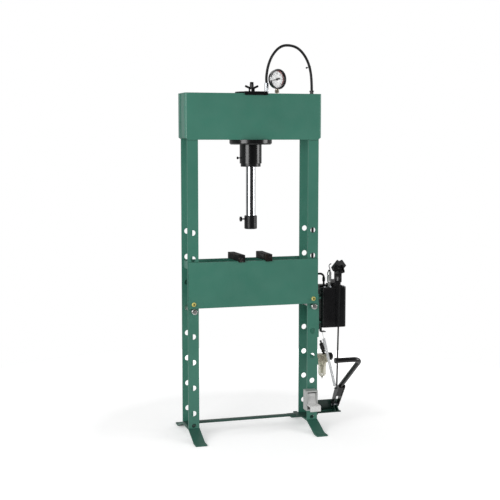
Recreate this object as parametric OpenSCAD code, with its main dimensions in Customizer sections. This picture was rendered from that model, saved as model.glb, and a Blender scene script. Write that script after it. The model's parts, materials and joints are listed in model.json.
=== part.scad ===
// Floor-standing hydraulic workshop press with a sliding cylinder, a height-adjustable
// bed, and a foot-worked pump with its oil tank on the right-hand post.
// Millimetres. X runs to the right, the front faces -Y, Z is up and the floor is Z = 0.
// The origin is on the floor, half way between the posts and between their two bars.

/* [Beam] */
// Length of the top beam
beam_len = 770; // [750:5:820]
// Height of the beam plates
beam_h = 250; // [220:5:280]
// Height of the beam's top edge above the floor
beam_top = 1880; // [1820:5:1960]
// Thickness of the folded beam plates
beam_t = 10; // [8:0.5:12]
// Outer fold radius of the beam plates
beam_r = 12; // [11:0.5:16]
// Depth of the front plate's folded ends, from its front face
front_fold = 96; // [80:1:100]
// Depth of the back plate's folded ends, from its back face
back_fold = 58; // [40:1:66]
// Length of the cut at the beam's lower corners
corner_x = 20; // [12:1:28]
// Height of the cut at the beam's lower corners
corner_z = 12; // [8:1:18]

/* [Posts] */
// Width of a post bar
bar_w = 60; // [56:1:62]
// Thickness of a post bar
bar_t = 10; // [8:0.5:12]
// Clear space between a post's front and back bars
bar_gap = 132; // [130:1:140]
// Distance from the beam's top edge down to the bars' top ends
bar_drop = 12; // [6:1:30]
// Diameter of the holes for the bed pins
hole_d = 31; // [30.6:0.1:33]
// Distance between the bed pin holes
hole_pitch = 142; // [130:1:144]
// Height of the lowest bed pin hole
hole_z = 136; // [134:1:150]
// Number of bed pin holes in a bar
hole_n = 8; // [6:1:8]
// Diameter of the low hole in each bar
low_hole_d = 24; // [18:1:26]
// Height of the low hole above the bar's end
low_hole_up = 14; // [13:0.5:18]

/* [Feet] */
// Length of a foot, front to back
foot_len = 500; // [460:5:560]
// Width of a foot
foot_w = 64; // [60:1:68]
// Thickness of the foot plate
foot_t = 9; // [7:0.5:11]
// Height of the flat top of a foot
foot_top = 55; // [48:1:62]
// Length of the flat top of a foot
foot_flat = 156; // [154:1:170]
// Length of each flat toe
toe_len = 52; // [30:1:60]
// Thickness of the tie bar's end plates
tie_plate_t = 8; // [6:0.5:10]
// Width of the tie bar, front to back
tie_w = 28; // [20:1:40]
// Thickness of the tie bar
tie_t = 12; // [8:0.5:16]

/* [Bed] */
// Height of the bed plates
bed_h = 251; // [221:5:261]
// Thickness of the bed plates
bed_t = 10; // [8:0.5:12]
// Which pin hole the bed stands on, counted from the lowest
bed_hole = 4; // [3:1:4]
// Sliding clearance between the bed and the posts
bed_gap = 0.5; // [0.4:0.1:1]
// How far the bed plates stop short of the posts' outer edges
bed_short = 3; // [0:0.5:6]
// Height of the ties inside the left post
strap_h = 40; // [30:1:44]
// Thickness of the ties inside the left post
strap_t = 8; // [6:0.5:9]
// Diameter of the bed pins
pin_d = 30; // [26:0.5:30]
// Length of the bed pins
pin_len = 208; // [190:1:230]
// How far the bed pins stand out at the front of the bars
pin_out = 36; // [20:1:45]
// Diameter of the clamp screw heads
clamp_d = 24; // [18:1:30]
// Height of the clamp screws above the bed's lower edge
clamp_up = 25; // [20:1:40]
// Width of a press block
block_w = 38; // [30:1:44]
// Length of a press block
block_len = 190; // [184:1:210]
// Height of a press block above the bed
block_h = 35; // [25:1:45]
// Distance from the middle of the press to the middle of a press block
block_x = 80; // [74:1:110]
// Angle at which the left block lies
block_skew = 3; // [0:0.5:4]

/* [Cylinder] */
// Distance of the cylinder's axis from the middle of the press
ram_x = 3; // [-10:1:10]
// Outer diameter of the cylinder
cyl_d = 121; // [116:1:130]
// Bore of the cylinder
cyl_bore = 90; // [80:1:94]
// Depth of the cylinder's bore
cyl_depth = 314; // [310:1:320]
// Thickness of the cylinder's closed end
cyl_cap = 30; // [24:1:32]
// How far the cylinder hangs below its flange
cyl_drop = 103; // [96:1:110]
// Diameter of the mounting flange
flange_d = 234; // [210:1:240]
// Thickness of the mounting flange
flange_t = 26; // [20:1:30]
// Sliding clearance between the carriage and the beam
slide_gap = 0.3; // [0.2:0.05:0.6]
// Diameter of the gland ring
gland_d = 110; // [104:1:114]
// Thickness of the gland ring below the cylinder
gland_t = 18; // [14:1:22]
// Diameter of the ram rod
rod_d = 52; // [46:1:56]
// Length of the ram rod that shows above its head
rod_out = 269; // [250:1:272]
// Diameter of the ram head
head_d = 70; // [66:1:76]
// Height of the ram head
head_h = 74; // [66:1:80]
// Depth of the socket in the ram head
head_socket = 34; // [28:1:40]
// Thickness of the piston
piston_t = 40; // [30:1:44]

/* [Carriage] */
// Diameter of the carriage's top plate
plate_d = 172; // [160:1:176]
// Thickness of the carriage's top plate
plate_t = 10; // [8:0.5:12]
// Width of the lips that grip the beam
lip_w = 130; // [110:1:140]
// How far the lips sit to the right of the cylinder's axis
lip_shift = 6; // [0:1:12]
// How far the lips reach down over the beam
lip_h = 10; // [8:0.5:16]
// Thickness of the lips
lip_t = 6; // [4:0.5:8]
// Diameter of the wing screw's stud
stud_d = 12; // [10:0.5:14]
// Diameter of the wing screw's hub
hub_d = 34; // [28:1:38]
// Width across the wings
wing_span = 78; // [64:1:90]

/* [Gauge] */
// Distance of the gauge from the middle of the press
gauge_x = 154; // [152:1:160]
// Height of the gauge's centre above the beam
gauge_up = 81; // [78:1:90]
// Outer diameter of the bezel
gauge_d = 112; // [100:1:114]
// Depth of the gauge case
gauge_t = 32; // [28:1:40]
// Angle by which the gauge is turned to the right
gauge_turn = 22; // [0:1:30]
// Angle of the pointer below the horizontal, at rest
needle_rest = 15; // [0:1:45]

/* [Oil tank] */
// Space between the right post and the tank
tank_gap = 32; // [29:1:39]
// Width of the tank
tank_w = 147; // [145:1:152]
// Depth of the tank
tank_d = 120; // [114:1:124]
// Height of the tank
tank_h = 223; // [200:1:230]
// Height of the tank's underside above the floor
tank_z = 573; // [570:1:577]
// Wall of the tank
tank_wall = 4; // [3:0.5:6]
// Radius of the tank's upright edges
tank_r = 18; // [12:1:20]
// Thickness of the tank's cover
cover_t = 6; // [5:0.5:8]

/* [Pump] */
// Distance of the pump's centre from the tank's left side
pump_in = 98; // [96:1:99]
// Distance of the plunger in front of the middle of the press
plunger_y = -40; // [-41:1:-39]
// Diameter of the plunger
plunger_d = 18; // [14:1:20]
// Thickness of the pump lever's side plates
lever_t = 5; // [4:0.5:6]
// Space between the pump lever's side plates
lever_gap = 30; // [29:1:32]
// Diameter of the link rod
link_d = 9; // [8:0.5:12]
// Thickness of the link rod's eyes
eye_t = 12; // [10:1:14]

/* [Pedal] */
// Diameter of the pedal's tube
tube_d = 27; // [24:0.5:27.5]
// Reach of the pedal in front of the middle of the press
pedal_reach = 400; // [370:5:420]
// Height of the treadle bar
treadle_z = 456; // [448:1:462]
// Distance from the treadle bar's free end to the middle of the pump
treadle_len = 147; // [135:1:158]
// Bend radius of the pedal's tube
tube_bend = 45; // [40:1:50]
// Leg of the pedal bracket's angle iron
angle_leg = 63; // [60:1:70]
// Thickness of the pedal bracket
angle_t = 6; // [5:0.5:7]

/* [Air unit] */
// Diameter of the filter bowl
bowl_d = 46; // [40:1:50]
// Length of the filter bowl
bowl_len = 80; // [70:1:90]
// Diameter of the regulator knob
knob_d = 46; // [38:1:50]
// Width of the foot valve
valve_w = 67; // [64:1:74]
// Height of the foot valve
valve_h = 112; // [104:1:120]
// Depth of the foot valve's guard
valve_d = 55; // [50:1:60]

/* [Hoses] */
// Diameter of the hydraulic hose
hose_d = 14.4; // [12:0.2:14.6]
// Diameter of the air hose
air_d = 6; // [4:0.5:7]

/* [Hidden] */
$fn = 64;
e = 0.01;
// Clearances: a turning or sliding fit, and a loose pin in a hole
fit = 0.05;
loose = 0.3;

bar_face = bar_gap / 2 + bar_t;
beam_end = beam_len / 2;
post_x = beam_end - beam_r - bar_w / 2;
post_out = post_x + bar_w / 2;
post_in = post_x - bar_w / 2;
bar_len = beam_top - bar_drop - foot_top;
beam_low = beam_top - beam_h;
beam_face = bar_face + beam_t;

tie_z = foot_top + tie_plate_t;
tie_reach = 240;

bed_pin_z = hole_z + bed_hole * hole_pitch;
bed_z = bed_pin_z + pin_d / 2 + loose;
bed_top = bed_z + bed_h;
bed_in = bar_face + bed_gap;
bed_face = bed_in + bed_t;
bed_end = post_out - bed_short;
stay_t = 8;
stay_x = post_in - 10 - stay_t;
hook_gap = 2;
hook_h = 5;

flange_z = beam_low - slide_gap - flange_t;
cyl_z = flange_z - cyl_drop;
cyl_top = cyl_z + cyl_depth + cyl_cap;
gland_z = cyl_z - gland_t;
spigot_h = 19.5;
head_z = gland_z - rod_out - head_h;
rod_z = head_z + head_h - head_socket;
piston_z = cyl_z + spigot_h + 25.5;
head_screw_z = head_z + head_h - 19;
bleed_z = cyl_z + 30;

plate_z = beam_top + slide_gap;
plate_top = plate_z + plate_t;
lip_in = beam_face + slide_gap;
port_z = cyl_top - 45;
port_top = cyl_top + 5;
port_w = 44;
port_end = gauge_x + 20;
wing_x = ram_x + 6;
ferrule_x = 94;
ferrule_d = 22;
ferrule_top = beam_top + 60;
gauge_z = beam_top + gauge_up;
bezel_t = 8;
case_d = gauge_d - 8;
dial_d = gauge_d - 18;
dial_y = 4;

tank_x = post_out + tank_gap;
pump_x = tank_x + pump_in;
tank_front = -62;
tank_back = tank_front + tank_d;
tank_mid_y = (tank_front + tank_back) / 2;
tank_top = tank_z + tank_h;
cover_top = tank_top + cover_t;
bolt_d = 12;
foot_plate = 8;
filler = [tank_x + 67, 30];

// Linkage, as [Y, Z] places of its pivots
lever_pivot = [25, cover_top + 20];
lever_leg = -50;
roller = [plunger_y, cover_top + 66];
link_top = [-95, cover_top + 93];
roller_d = 16;
pedal_pivot = [-18, 116];
link_low = [-62, 200];
link_len = norm(link_top - link_low);
link_tilt = atan2(link_low[0] - link_top[0], link_top[1] - link_low[1]);
pivot_d = 12;
link_pin_d = 10;
link_slack = 1.8;
lever_w = lever_gap + 2 * lever_t;
barrel_d = 34;
plunger_low = tank_top - 60;
plunger_top = roller[1] - roller_d / 2 - 0.4;

link_x = pump_x - 7;
angle_z = 78;
angle_y = 12;
angle_end = pump_x + lever_w / 2 + 5;
ear_gap = 2.5;
ear_x = lever_gap / 2 - ear_gap - angle_t;
tube_tilt = 35.7;
bend_d = tube_d + 0.4;
tube_start = -84;
corner = [pump_x, -pedal_reach, treadle_z];
tube_dir = [0, -cos(tube_tilt), sin(tube_tilt)];
tube_run = (pedal_reach + tube_start) / cos(tube_tilt) - tube_bend;

spring_top = [tank_x + 13, -28, tank_z - 28];
spring_pin = [pump_x - lever_w / 2 - 7, -80, 226];
spring_d = 15;
spring_wire = 3;

valve_x = tank_x + 53;
valve_y = -30;
outlet_x = tank_x + 31;
elbow_r = 22;
elbow_z = cover_top + 50;
hose_z = elbow_z + elbow_r;
drop_x = post_x + 23.8;
drop_end = hose_z + 26;

frl_x = post_out + 54;
frl_w = 68;
frl_d = 46;
frl_z = 361;
frl_h = 50;
air_end = [post_out + 13, -12, frl_z + 31];

guard_x = post_x - 53;
guard_z = 120;
guard_t = 6;
treadle_y = -104;
treadle_pin_z = 180;
treadle_lip = -191;
treadle_end = pump_x - treadle_len;

collar_x = post_x + 14;
collar_top = beam_top + 25;

// Routes of the hoses. The loop's points are given as the share of the way from the
// ferrule to the collar and the height above the beam; the others as steps in [X, Y, Z].
function loop_at(p) = [ferrule_x + p[0] * (collar_x - ferrule_x), 0, beam_top + p[1]];
loop_steps = [
    [0, 60.3], [-0.004, 85], [0.004, 110], [0.02, 136], [0.047, 162], [0.085, 188],
    [0.135, 212], [0.2, 234], [0.277, 252], [0.365, 263], [0.456, 266], [0.548, 264],
    [0.64, 257], [0.723, 244], [0.798, 225], [0.859, 203], [0.909, 178], [0.947, 151],
    [0.973, 122], [0.988, 92], [0.996, 62], [1, 25.3]];
loop_route = [for (p = loop_steps) loop_at(p)];
drop_steps = [
    [-9.8, -11.5], [-9.8, -45], [-9.4, -80], [-7.4, -115], [-4.8, -150], [-2.2, -185],
    [-0.5, -220], [0, -255]];
drop_route = concat([[collar_x, 0, collar_top]],
    [for (p = drop_steps) [drop_x + p[0], 0, beam_top + p[1]]],
    [[drop_x, 0, (beam_top + drop_end) / 2], [drop_x, 0, drop_end]]);
air_steps = [
    [25, 10, 180.7], [22, 9, 169], [14, 5, 155], [5, 0, 139], [0, -3, 122], [-1, -5, 105],
    [0, -5, 88], [2, -4, 71], [4, -3, 54], [5, -2, 38], [3, -1, 21], [0, 0, 0.3]];
air_route = [for (p = air_steps) air_end + p];

// ---- shapes that repeat ----

// A profile in [Y, Z], drawn out along X from x0
module along_x(x0, w) {
    translate([x0, 0, 0]) rotate([90, 0, 90]) linear_extrude(w) children();
}

// A profile in [X, Z], drawn out along Y from y0
module along_y(y0, w) {
    translate([0, y0 + w, 0]) rotate([90, 0, 0]) linear_extrude(w) children();
}

module x_rod(x0, len, y, z, d) {
    translate([x0, y, z]) rotate([0, 90, 0]) cylinder(h = len, d = d);
}

module y_rod(y0, len, x, z, d) {
    translate([x, y0, z]) rotate([-90, 0, 0]) cylinder(h = len, d = d);
}

module block(low, high) {
    translate(low) cube(high - low);
}

module rounded_rect(w, d, r) {
    translate([r, 0]) square([w - 2 * r, d]);
    translate([0, r]) square([w, d - 2 * r]);
    for (x = [r, w - r], y = [r, d - r]) translate([x, y]) circle(r);
}

// A solid swept through points, round in section
function unit(v) = v / norm(v);
function heading(p, i) = unit(p[min(i + 1, len(p) - 1)] - p[max(i - 1, 0)]);
function ring(c, dir, d, n) =
    let (side = [0, 1, 0], up = unit(cross(dir, side)), across = cross(up, dir))
    [for (k = [0 : n - 1]) c + d / 2 * (cos(360 * k / n) * across + sin(360 * k / n) * up)];

module hose(route, d, n = 12) {
    m = len(route);
    points = [for (i = [0 : m - 1]) each ring(route[i], heading(route, i), d, n)];
    sides = [for (i = [0 : m - 2], k = [0 : n - 1])
        [i * n + k, i * n + (k + 1) % n, (i + 1) * n + (k + 1) % n, (i + 1) * n + k]];
    first = [for (k = [n - 1 : -1 : 0]) k];
    last = [for (k = [0 : n - 1]) (m - 1) * n + k];
    polyhedron(points, concat([first], sides, [last]), convexity = 6);
}

// ---- frame ----

module beam_shell(fold) {
    difference() {
        translate([-beam_end, 0, beam_low]) linear_extrude(beam_h) difference() {
            rounded_rect(beam_len, 2 * fold, beam_r);
            translate([beam_t, beam_t])
                rounded_rect(beam_len - 2 * beam_t, 2 * fold, beam_r - beam_t);
            translate([-1, fold]) square([beam_len + 2, fold + 2]);
        }
        for (s = [-1, 1]) along_y(-1, fold + 2) polygon([
            [s * (beam_end - corner_x), beam_low - e], [s * (beam_end + e), beam_low - e],
            [s * (beam_end + e), beam_low + corner_z]]);
    }
}

module beam_front() color("#42755f") translate([0, -beam_face, 0]) beam_shell(front_fold);

module beam_back() color("#42755f")
    translate([0, beam_face, 0]) mirror([0, 1, 0]) beam_shell(back_fold);

module post_bar(side, face) {
    y0 = face > 0 ? bar_gap / 2 : -bar_face;
    color("#42755f") difference() {
        translate([side * post_x - bar_w / 2, y0, foot_top]) cube([bar_w, bar_t, bar_len]);
        for (k = [0 : hole_n - 1])
            y_rod(y0 - 1, bar_t + 2, side * post_x, hole_z + k * hole_pitch, hole_d);
        if (face < 0)
            y_rod(y0 - 1, bar_t + 2, side * post_x, foot_top + low_hole_up, low_hole_d);
    }
}

// The left front bar carries a short tie that reaches back to the other bar
module post_left_front() {
    x0 = strap_t - post_out;
    post_bar(-1, -1);
    color("#8f9a90")
        block([x0, -bar_gap / 2 - e, bed_top - strap_h], [x0 + strap_t, bar_gap / 2, bed_top]);
}

module post_left_back() post_bar(-1, 1);
module post_right_front() post_bar(1, -1);
module post_right_back() post_bar(1, 1);

module foot(side) {
    half = foot_len / 2;
    flat = foot_flat / 2;
    knee = half - toe_len;
    lift = foot_top - foot_t;
    color("#35604f") along_x(side * post_x - foot_w / 2, foot_w) polygon([
        [-half, 0], [-half, foot_t], [-knee, foot_t], [-flat, foot_top], [flat, foot_top],
        [knee, foot_t], [half, foot_t], [half, 0], [knee - 2, 0], [flat - 2, lift],
        [2 - flat, lift], [2 - knee, 0]]);
}

module foot_left() foot(-1);
module foot_right() foot(1);

// Flat tie bar, lying on an end plate that is welded to each foot
module tie_bar() {
    half = bar_gap / 2 - 4;
    color("#1f3a30") {
        block([-post_in - 12, -tie_w / 2, tie_z], [tie_reach + 30, tie_w / 2, tie_z + tie_t]);
        block([-post_out, -half, foot_top], [4 - post_in, half, tie_z]);
        block([tie_reach, -tie_w / 2, foot_top], [post_out, half, tie_z]);
        block([tie_reach + 48, half - e, foot_top], [post_in - 2, half + 34, tie_z]);
    }
}

// Plates welded across the outside of the right post: one for the tank, one for the air unit
module side_brackets() {
    rib_y = 46;
    color("#42755f") {
        block([post_out, -bar_face, tank_z - 48], [post_out + 8, bar_face, tank_top - 26]);
        for (z = [tank_z + 27, tank_top - 56])
            block([post_out + 8 - e, -rib_y, z], [tank_x, rib_y, z + 8]);
        block([post_out, -bar_face, frl_z + 5], [post_out + 5, bar_face, frl_z + 45]);
        block([post_out + 5 - e, 2, frl_z + 15], [frl_x - frl_w / 2, 20, frl_z + 35]);
    }
}

// ---- bed ----

module bed_plate(y0) {
    color("#42755f") block([-bed_end, y0, bed_z], [bed_end, y0 + bed_t, bed_top]);
}

function clamp_z(s) = bed_z + clamp_up + 2 * s;

module bed_front() difference() {
    bed_plate(-bed_face);
    for (s = [-1, 1]) y_rod(-bed_face - 1, bed_t + 2, s * post_x, clamp_z(s), 14);
}

module bed_back() bed_plate(bed_in);

// Stays between the plates, just inside the posts
module bed_spacers() {
    color("#8f9a90") for (s = [0, 1]) mirror([s, 0, 0])
        block([stay_x, -bed_in, bed_z + 20], [stay_x + stay_t, bed_in, bed_top - 30]);
}

module bed_screws() {
    head_t = 9;
    color("#b9a64a") for (s = [-1, 1]) {
        y_rod(-bed_face - head_t, head_t, s * post_x, clamp_z(s), clamp_d);
        y_rod(-bed_face - e, bed_t + e, s * post_x, clamp_z(s), 14);
    }
}

// A bar with a hook at each end that drops over the bed plates
module press_block() {
    half = block_len / 2;
    hook_in = bed_face + hook_gap;
    color("#2c2a29") along_x(-block_w / 2, block_w) polygon([
        [-half - 3, bed_top - hook_h], [-half - 3, bed_top + block_h],
        [half - 3, bed_top + block_h], [half - 3, bed_top - hook_h],
        [hook_in, bed_top - hook_h], [hook_in, bed_top], [-hook_in, bed_top],
        [-hook_in, bed_top - hook_h]]);
}

module press_block_left() translate([-block_x, 0, 0]) rotate(block_skew) press_block();
module press_block_right() translate([block_x, 0, 0]) press_block();

module bed_pin(side) {
    y0 = -bar_face - pin_out;
    chamfer = 2;
    color("#b8b4ac") translate([side * post_x, y0, bed_pin_z]) rotate([-90, 0, 0])
        rotate_extrude() polygon([
            [0, 0], [pin_d / 2 - chamfer, 0], [pin_d / 2, chamfer],
            [pin_d / 2, pin_len - chamfer], [pin_d / 2 - chamfer, pin_len], [0, pin_len]]);
}

module bed_pin_left() bed_pin(-1);
module bed_pin_right() bed_pin(1);

// ---- cylinder and ram ----

module cylinder_tube() {
    bevel = 7;
    stud_hole = 18;
    port_hole_z = cyl_top - 20;
    color("#1b1b1d") translate([ram_x, 0, 0]) difference() {
        union() {
            translate([0, 0, cyl_z]) cylinder(h = cyl_top - cyl_z, d = cyl_d);
            translate([0, 0, flange_z]) rotate_extrude() polygon([
                [0, 0], [flange_d / 2 - bevel, 0], [flange_d / 2, bevel],
                [flange_d / 2, flange_t], [0, flange_t]]);
        }
        translate([0, 0, cyl_z - 1]) cylinder(h = cyl_depth + 1, d = cyl_bore);
        translate([wing_x - ram_x, 0, cyl_top - stud_hole]) cylinder(h = stud_hole + 1, d = stud_d + 2 * fit);
        x_rod(cyl_bore / 2 - 12, cyl_d / 2, 0, port_hole_z, 8);
        translate([cyl_bore / 2 - 8, 0, port_hole_z - 12]) cylinder(h = 12, d = 8);
        x_rod(-cyl_d / 2 - 1, 13, 0, bleed_z, 6 + 2 * fit);
    }
}

module cylinder_gland() {
    color("#222224") translate([ram_x, 0, gland_z]) difference() {
        union() {
            cylinder(h = gland_t, d = gland_d);
            cylinder(h = gland_t + spigot_h, d = cyl_bore - 2 * fit);
        }
        translate([0, 0, -1]) cylinder(h = gland_t + spigot_h + 2, d = rod_d + 2 * fit);
    }
}

module piston() {
    color("#77797c") translate([ram_x, 0, piston_z]) difference() {
        cylinder(h = piston_t, d = cyl_bore - 2 * fit);
        translate([0, 0, -1]) cylinder(h = piston_t + 2, d = rod_d - 20);
    }
}

module ram_rod() {
    color("#d5d7da") translate([ram_x, 0, 0]) {
        translate([0, 0, rod_z]) cylinder(h = piston_z - rod_z, d = rod_d);
        translate([0, 0, rod_z]) cylinder(h = piston_z + piston_t - rod_z, d = rod_d - 20);
    }
}

module ram_head() {
    edge = 3;
    color("#1d1d1f") translate([ram_x, 0, head_z]) difference() {
        rotate_extrude() polygon([
            [0, 0], [head_d / 2 - edge, 0], [head_d / 2, edge], [head_d / 2, head_h - edge],
            [head_d / 2 - edge, head_h], [0, head_h]]);
        translate([0, 0, head_h - head_socket])
            cylinder(h = head_socket + 1, d = rod_d + 2 * fit);
        x_rod(-head_d / 2 - 1, head_d / 2, 0, head_screw_z - head_z, 8 + 2 * fit);
    }
}

// Thumb screw that holds the head on the rod
module head_screw() {
    tip = ram_x - rod_d / 2 - loose;
    color("#161617") {
        x_rod(tip - 26, 26, 0, head_screw_z, 8);
        x_rod(ram_x - 62, 11, 0, head_screw_z, 27);
    }
}

module bleed_screw() {
    tip = ram_x - cyl_d / 2 + 10;
    color("#161617") {
        x_rod(tip - 26, 26, 0, bleed_z, 6);
        x_rod(ram_x - 79, 9, 0, bleed_z, 14);
    }
}

module carriage_plate() {
    reach = lip_in + lip_t;
    x0 = ram_x + lip_shift - lip_w / 2;
    color("#17181a") difference() {
        union() {
            translate([ram_x, 0, plate_z]) cylinder(h = plate_t, d = plate_d);
            block([x0, -reach, plate_z], [x0 + lip_w, reach, plate_top]);
            for (s = [0, 1]) mirror([0, s, 0])
                block([x0, lip_in, beam_top - lip_h], [x0 + lip_w, reach, plate_z + e]);
        }
        translate([wing_x, 0, plate_z - 1]) cylinder(h = plate_t + 2, d = stud_d + 2 * fit);
        translate([ferrule_x, 0, plate_z - 1]) cylinder(h = plate_t + 2, d = ferrule_d + 1);
    }
}

// Screw that locks the cylinder along the beam
module wing_screw() {
    foot_z = plate_top + loose;
    hub_h = 22;
    wing_z = foot_z + hub_h - 3;
    color("#141415") translate([wing_x, 0, 0]) {
        translate([0, 0, cyl_top - 16]) cylinder(h = foot_z - cyl_top + 17, d = stud_d);
        difference() {
            intersection() {
                translate([0, 0, foot_z]) cylinder(h = hub_h, d = hub_d);
                translate([-hub_d, -7, foot_z]) cube([2 * hub_d, 14, hub_h]);
            }
            translate([-hub_d / 2 + 7, -8, foot_z + 2.5]) cube([9, 16, 13]);
        }
        translate([0, 0, foot_z + hub_h - e]) cylinder(h = 21, d = 22);
        translate([-8, -8, foot_z + hub_h + 20]) cube([16, 16, 11]);
        for (s = [0, 180]) rotate(s) hull($fn = 24) {
            translate([8, 0, wing_z]) sphere(d = 12, $fn = 24);
            translate([wing_span / 2 - 6, 0, wing_z + 11]) sphere(d = 12, $fn = 24);
        }
    }
}

// Manifold that feeds the cylinder, with the hose and the gauge on it
module port_block() {
    color("#2a2c2f") difference() {
        block([ram_x + 40, -port_w / 2, port_z], [port_end, port_w / 2, port_top]);
        translate([ram_x, 0, port_z - 1])
            cylinder(h = port_top - port_z + 2, d = cyl_d + 2 * fit);
        x_rod(ram_x + 50, port_end - ram_x - 62, 0, cyl_top - 20, 8);
        for (x = [ferrule_x, gauge_x]) translate([x, 0, cyl_top - 20])
            cylinder(h = 30, d = 8);
    }
}

module hose_ferrule() {
    nut = 20;
    color("#c9ccd0") translate([ferrule_x, 0, port_top]) difference() {
        union() {
            cylinder(h = nut, d = ferrule_d + 2 - 2, $fn = 6);
            cylinder(h = ferrule_top - port_top, d = ferrule_d);
        }
        translate([0, 0, -1]) cylinder(h = 40, d = 6);
    }
}

module at_gauge() {
    translate([gauge_x, 0, gauge_z]) rotate(gauge_turn) children();
}

module gauge_ring(y0, w, d, hole) {
    difference() {
        y_rod(y0, w, 0, 0, d);
        if (hole > 0) y_rod(y0 - 1, w + 2, 0, 0, hole);
    }
}

module gauge_case() {
    half = gauge_t / 2;
    color("#1a1a1c") at_gauge() {
        gauge_ring(-half, bezel_t, gauge_d, dial_d - 2);
        gauge_ring(-half + bezel_t - e, gauge_t - bezel_t - 4 + e, case_d, dial_d);
        gauge_ring(half - 4 - e, 4 + e, case_d, 6);
    }
    color("#b59a5a") translate([gauge_x, 0, port_top]) difference() {
        union() {
            cylinder(h = gauge_z - case_d / 2 - port_top + 3, d = 14);
            translate([0, 0, beam_top + 6 - port_top]) cylinder(h = 15, d = 24, $fn = 6);
        }
        translate([0, 0, -1]) cylinder(h = 30, d = 5);
    }
}

module gauge_dial() {
    color("#f2f3f1") at_gauge() gauge_ring(dial_y - 4, 2, dial_d - 2 * fit, 6);
}

module gauge_glass() {
    color("#dfe8ea", 0.3) at_gauge()
        gauge_ring(-gauge_t / 2 + bezel_t + e, 2, dial_d - 2 * fit, 0);
}

module gauge_needle() {
    y0 = -4.5;
    color("#101010") at_gauge() {
        y_rod(y0 - 0.5, 14, 0, 0, 6 - 2 * fit);
        y_rod(y0 - 0.5, 3, 0, 0, 11);
        translate([0, y0 + 1.2, 0]) rotate([90, needle_rest + 180, 180]) rotate([180, 0, 0])
            linear_extrude(1.2) polygon([[-13, -2.6], [-13, 2.6], [40, 0.7], [40, -0.7]]);
    }
}

// ---- tank and pump ----

module tank_outline(inset) {
    translate([tank_x + inset, tank_front + inset])
        rounded_rect(tank_w - 2 * inset, tank_d - 2 * inset, tank_r - inset);
}

module reservoir() {
    color("#17181a") difference() {
        translate([0, 0, tank_z]) linear_extrude(tank_h) tank_outline(0);
        translate([0, 0, tank_z + tank_wall]) linear_extrude(tank_h) tank_outline(tank_wall);
    }
}

module cover_places() {
    edge = 16;
    for (x = [tank_x + edge, tank_x + 52, tank_x + tank_w - edge],
         y = [tank_front + edge / 2, tank_back - edge / 2])
        translate([x, y, 0]) children();
}

module reservoir_cover() {
    color("#1c1d1f") difference() {
        translate([0, 0, tank_top]) linear_extrude(cover_t) tank_outline(0);
        translate([pump_x, plunger_y, tank_top - 1])
            cylinder(h = cover_t + 2, d = barrel_d + 2 * fit);
        translate([filler[0], filler[1], tank_top - 1])
            cylinder(h = cover_t + 2, d = 16 + 2 * fit);
    }
}

module cover_bolts() {
    color("#c3c6c8") cover_places() translate([0, 0, cover_top]) cylinder(h = 7, d = bolt_d);
}

module filler_cap() {
    color("#232323") translate([filler[0], filler[1], 0]) {
        translate([0, 0, tank_top - 8]) cylinder(h = cover_t + 9, d = 16);
        translate([0, 0, cover_top + loose]) cylinder(h = 12, d = 22);
    }
}

module pump_block() {
    body_w = lever_gap - 1;
    color("#1a1b1c") difference() {
        union() {
            block([pump_x - 25, -57, cover_top], [pump_x + 25, 6, cover_top + foot_plate]);
            block([pump_x - body_w / 2, -56, cover_top], [pump_x + body_w / 2, 38, cover_top + 34]);
            block([tank_x + 4, -8, cover_top], [pump_x - 20, 10, cover_top + foot_plate]);
            block([tank_x + 4, -8, cover_top], [tank_x + 53, 42, cover_top + foot_plate]);
            translate([pump_x, plunger_y, tank_top - 90])
                cylinder(h = 90 + cover_t + 4, d = barrel_d);
        }
        translate([pump_x, plunger_y, tank_top - 84])
            cylinder(h = 160, d = plunger_d + 2 * fit);
        x_rod(pump_x - 40, 80, lever_pivot[0], lever_pivot[1], pivot_d + 2 * fit);
    }
}

module pump_plunger() {
    color("#d5d7da") translate([pump_x, plunger_y, plunger_low])
        cylinder(h = plunger_top - plunger_low, d = plunger_d);
}

// Two side plates, a roller that pushes the plunger, and a socket for a hand lever
module lever_plate(x0) {
    leg_top = cover_top + 84;
    along_x(x0, lever_t) {
        hull() {
            translate(lever_pivot) circle(11, $fn = 32);
            translate([lever_leg, cover_top + 32]) circle(7, $fn = 32);
        }
        translate([lever_leg - 7, cover_top + 32]) square([17, leg_top - cover_top - 32]);
        hull() {
            translate([lever_leg + 1, leg_top]) circle(10, $fn = 32);
            translate(link_top) circle(8, $fn = 32);
            translate([-62, cover_top + 134]) circle(7, $fn = 32);
        }
    }
}

module pump_lever() {
    lean = 19.5;
    head_t = 13.5;
    head_low = cover_top + 74;
    color("#1b1b1c") difference() {
        union() {
            lever_plate(pump_x - lever_w / 2);
            lever_plate(pump_x + lever_gap / 2);
            x_rod(pump_x - lever_gap / 2 - 1, lever_gap + 2, roller[0], roller[1], roller_d);
            x_rod(pump_x - lever_gap / 2 - 1, lever_gap + 2, link_top[0], link_top[1], link_pin_d);
            translate([pump_x, lever_leg, head_low]) rotate([lean, 0, 0])
                along_y(-head_t / 2, head_t) polygon([[-14, 1], [14, 1], [20, 22], [40, 54],
                    [15, 86], [0, 78], [-15, 86], [-45, 39], [-36, 22], [-20, 14]]);
        }
        x_rod(pump_x - lever_w, 2 * lever_w, lever_pivot[0], lever_pivot[1],
            pivot_d + 2 * fit);
    }
}

module release_valve() {
    body_d = 25;
    color("#b9bcbe") translate([valve_x, valve_y, cover_top]) difference() {
        union() {
            cylinder(h = 26, d = 17);
            translate([0, 0, 24]) cylinder(h = 6, d1 = 17, d2 = body_d);
            translate([0, 0, 30]) cylinder(h = 52, d = body_d);
            translate([0, 0, 82]) cylinder(h = 8, d1 = body_d, d2 = 15);
        }
        translate([0, 0, 70]) cylinder(h = 30, d = 8 + 2 * fit);
    }
}

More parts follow.
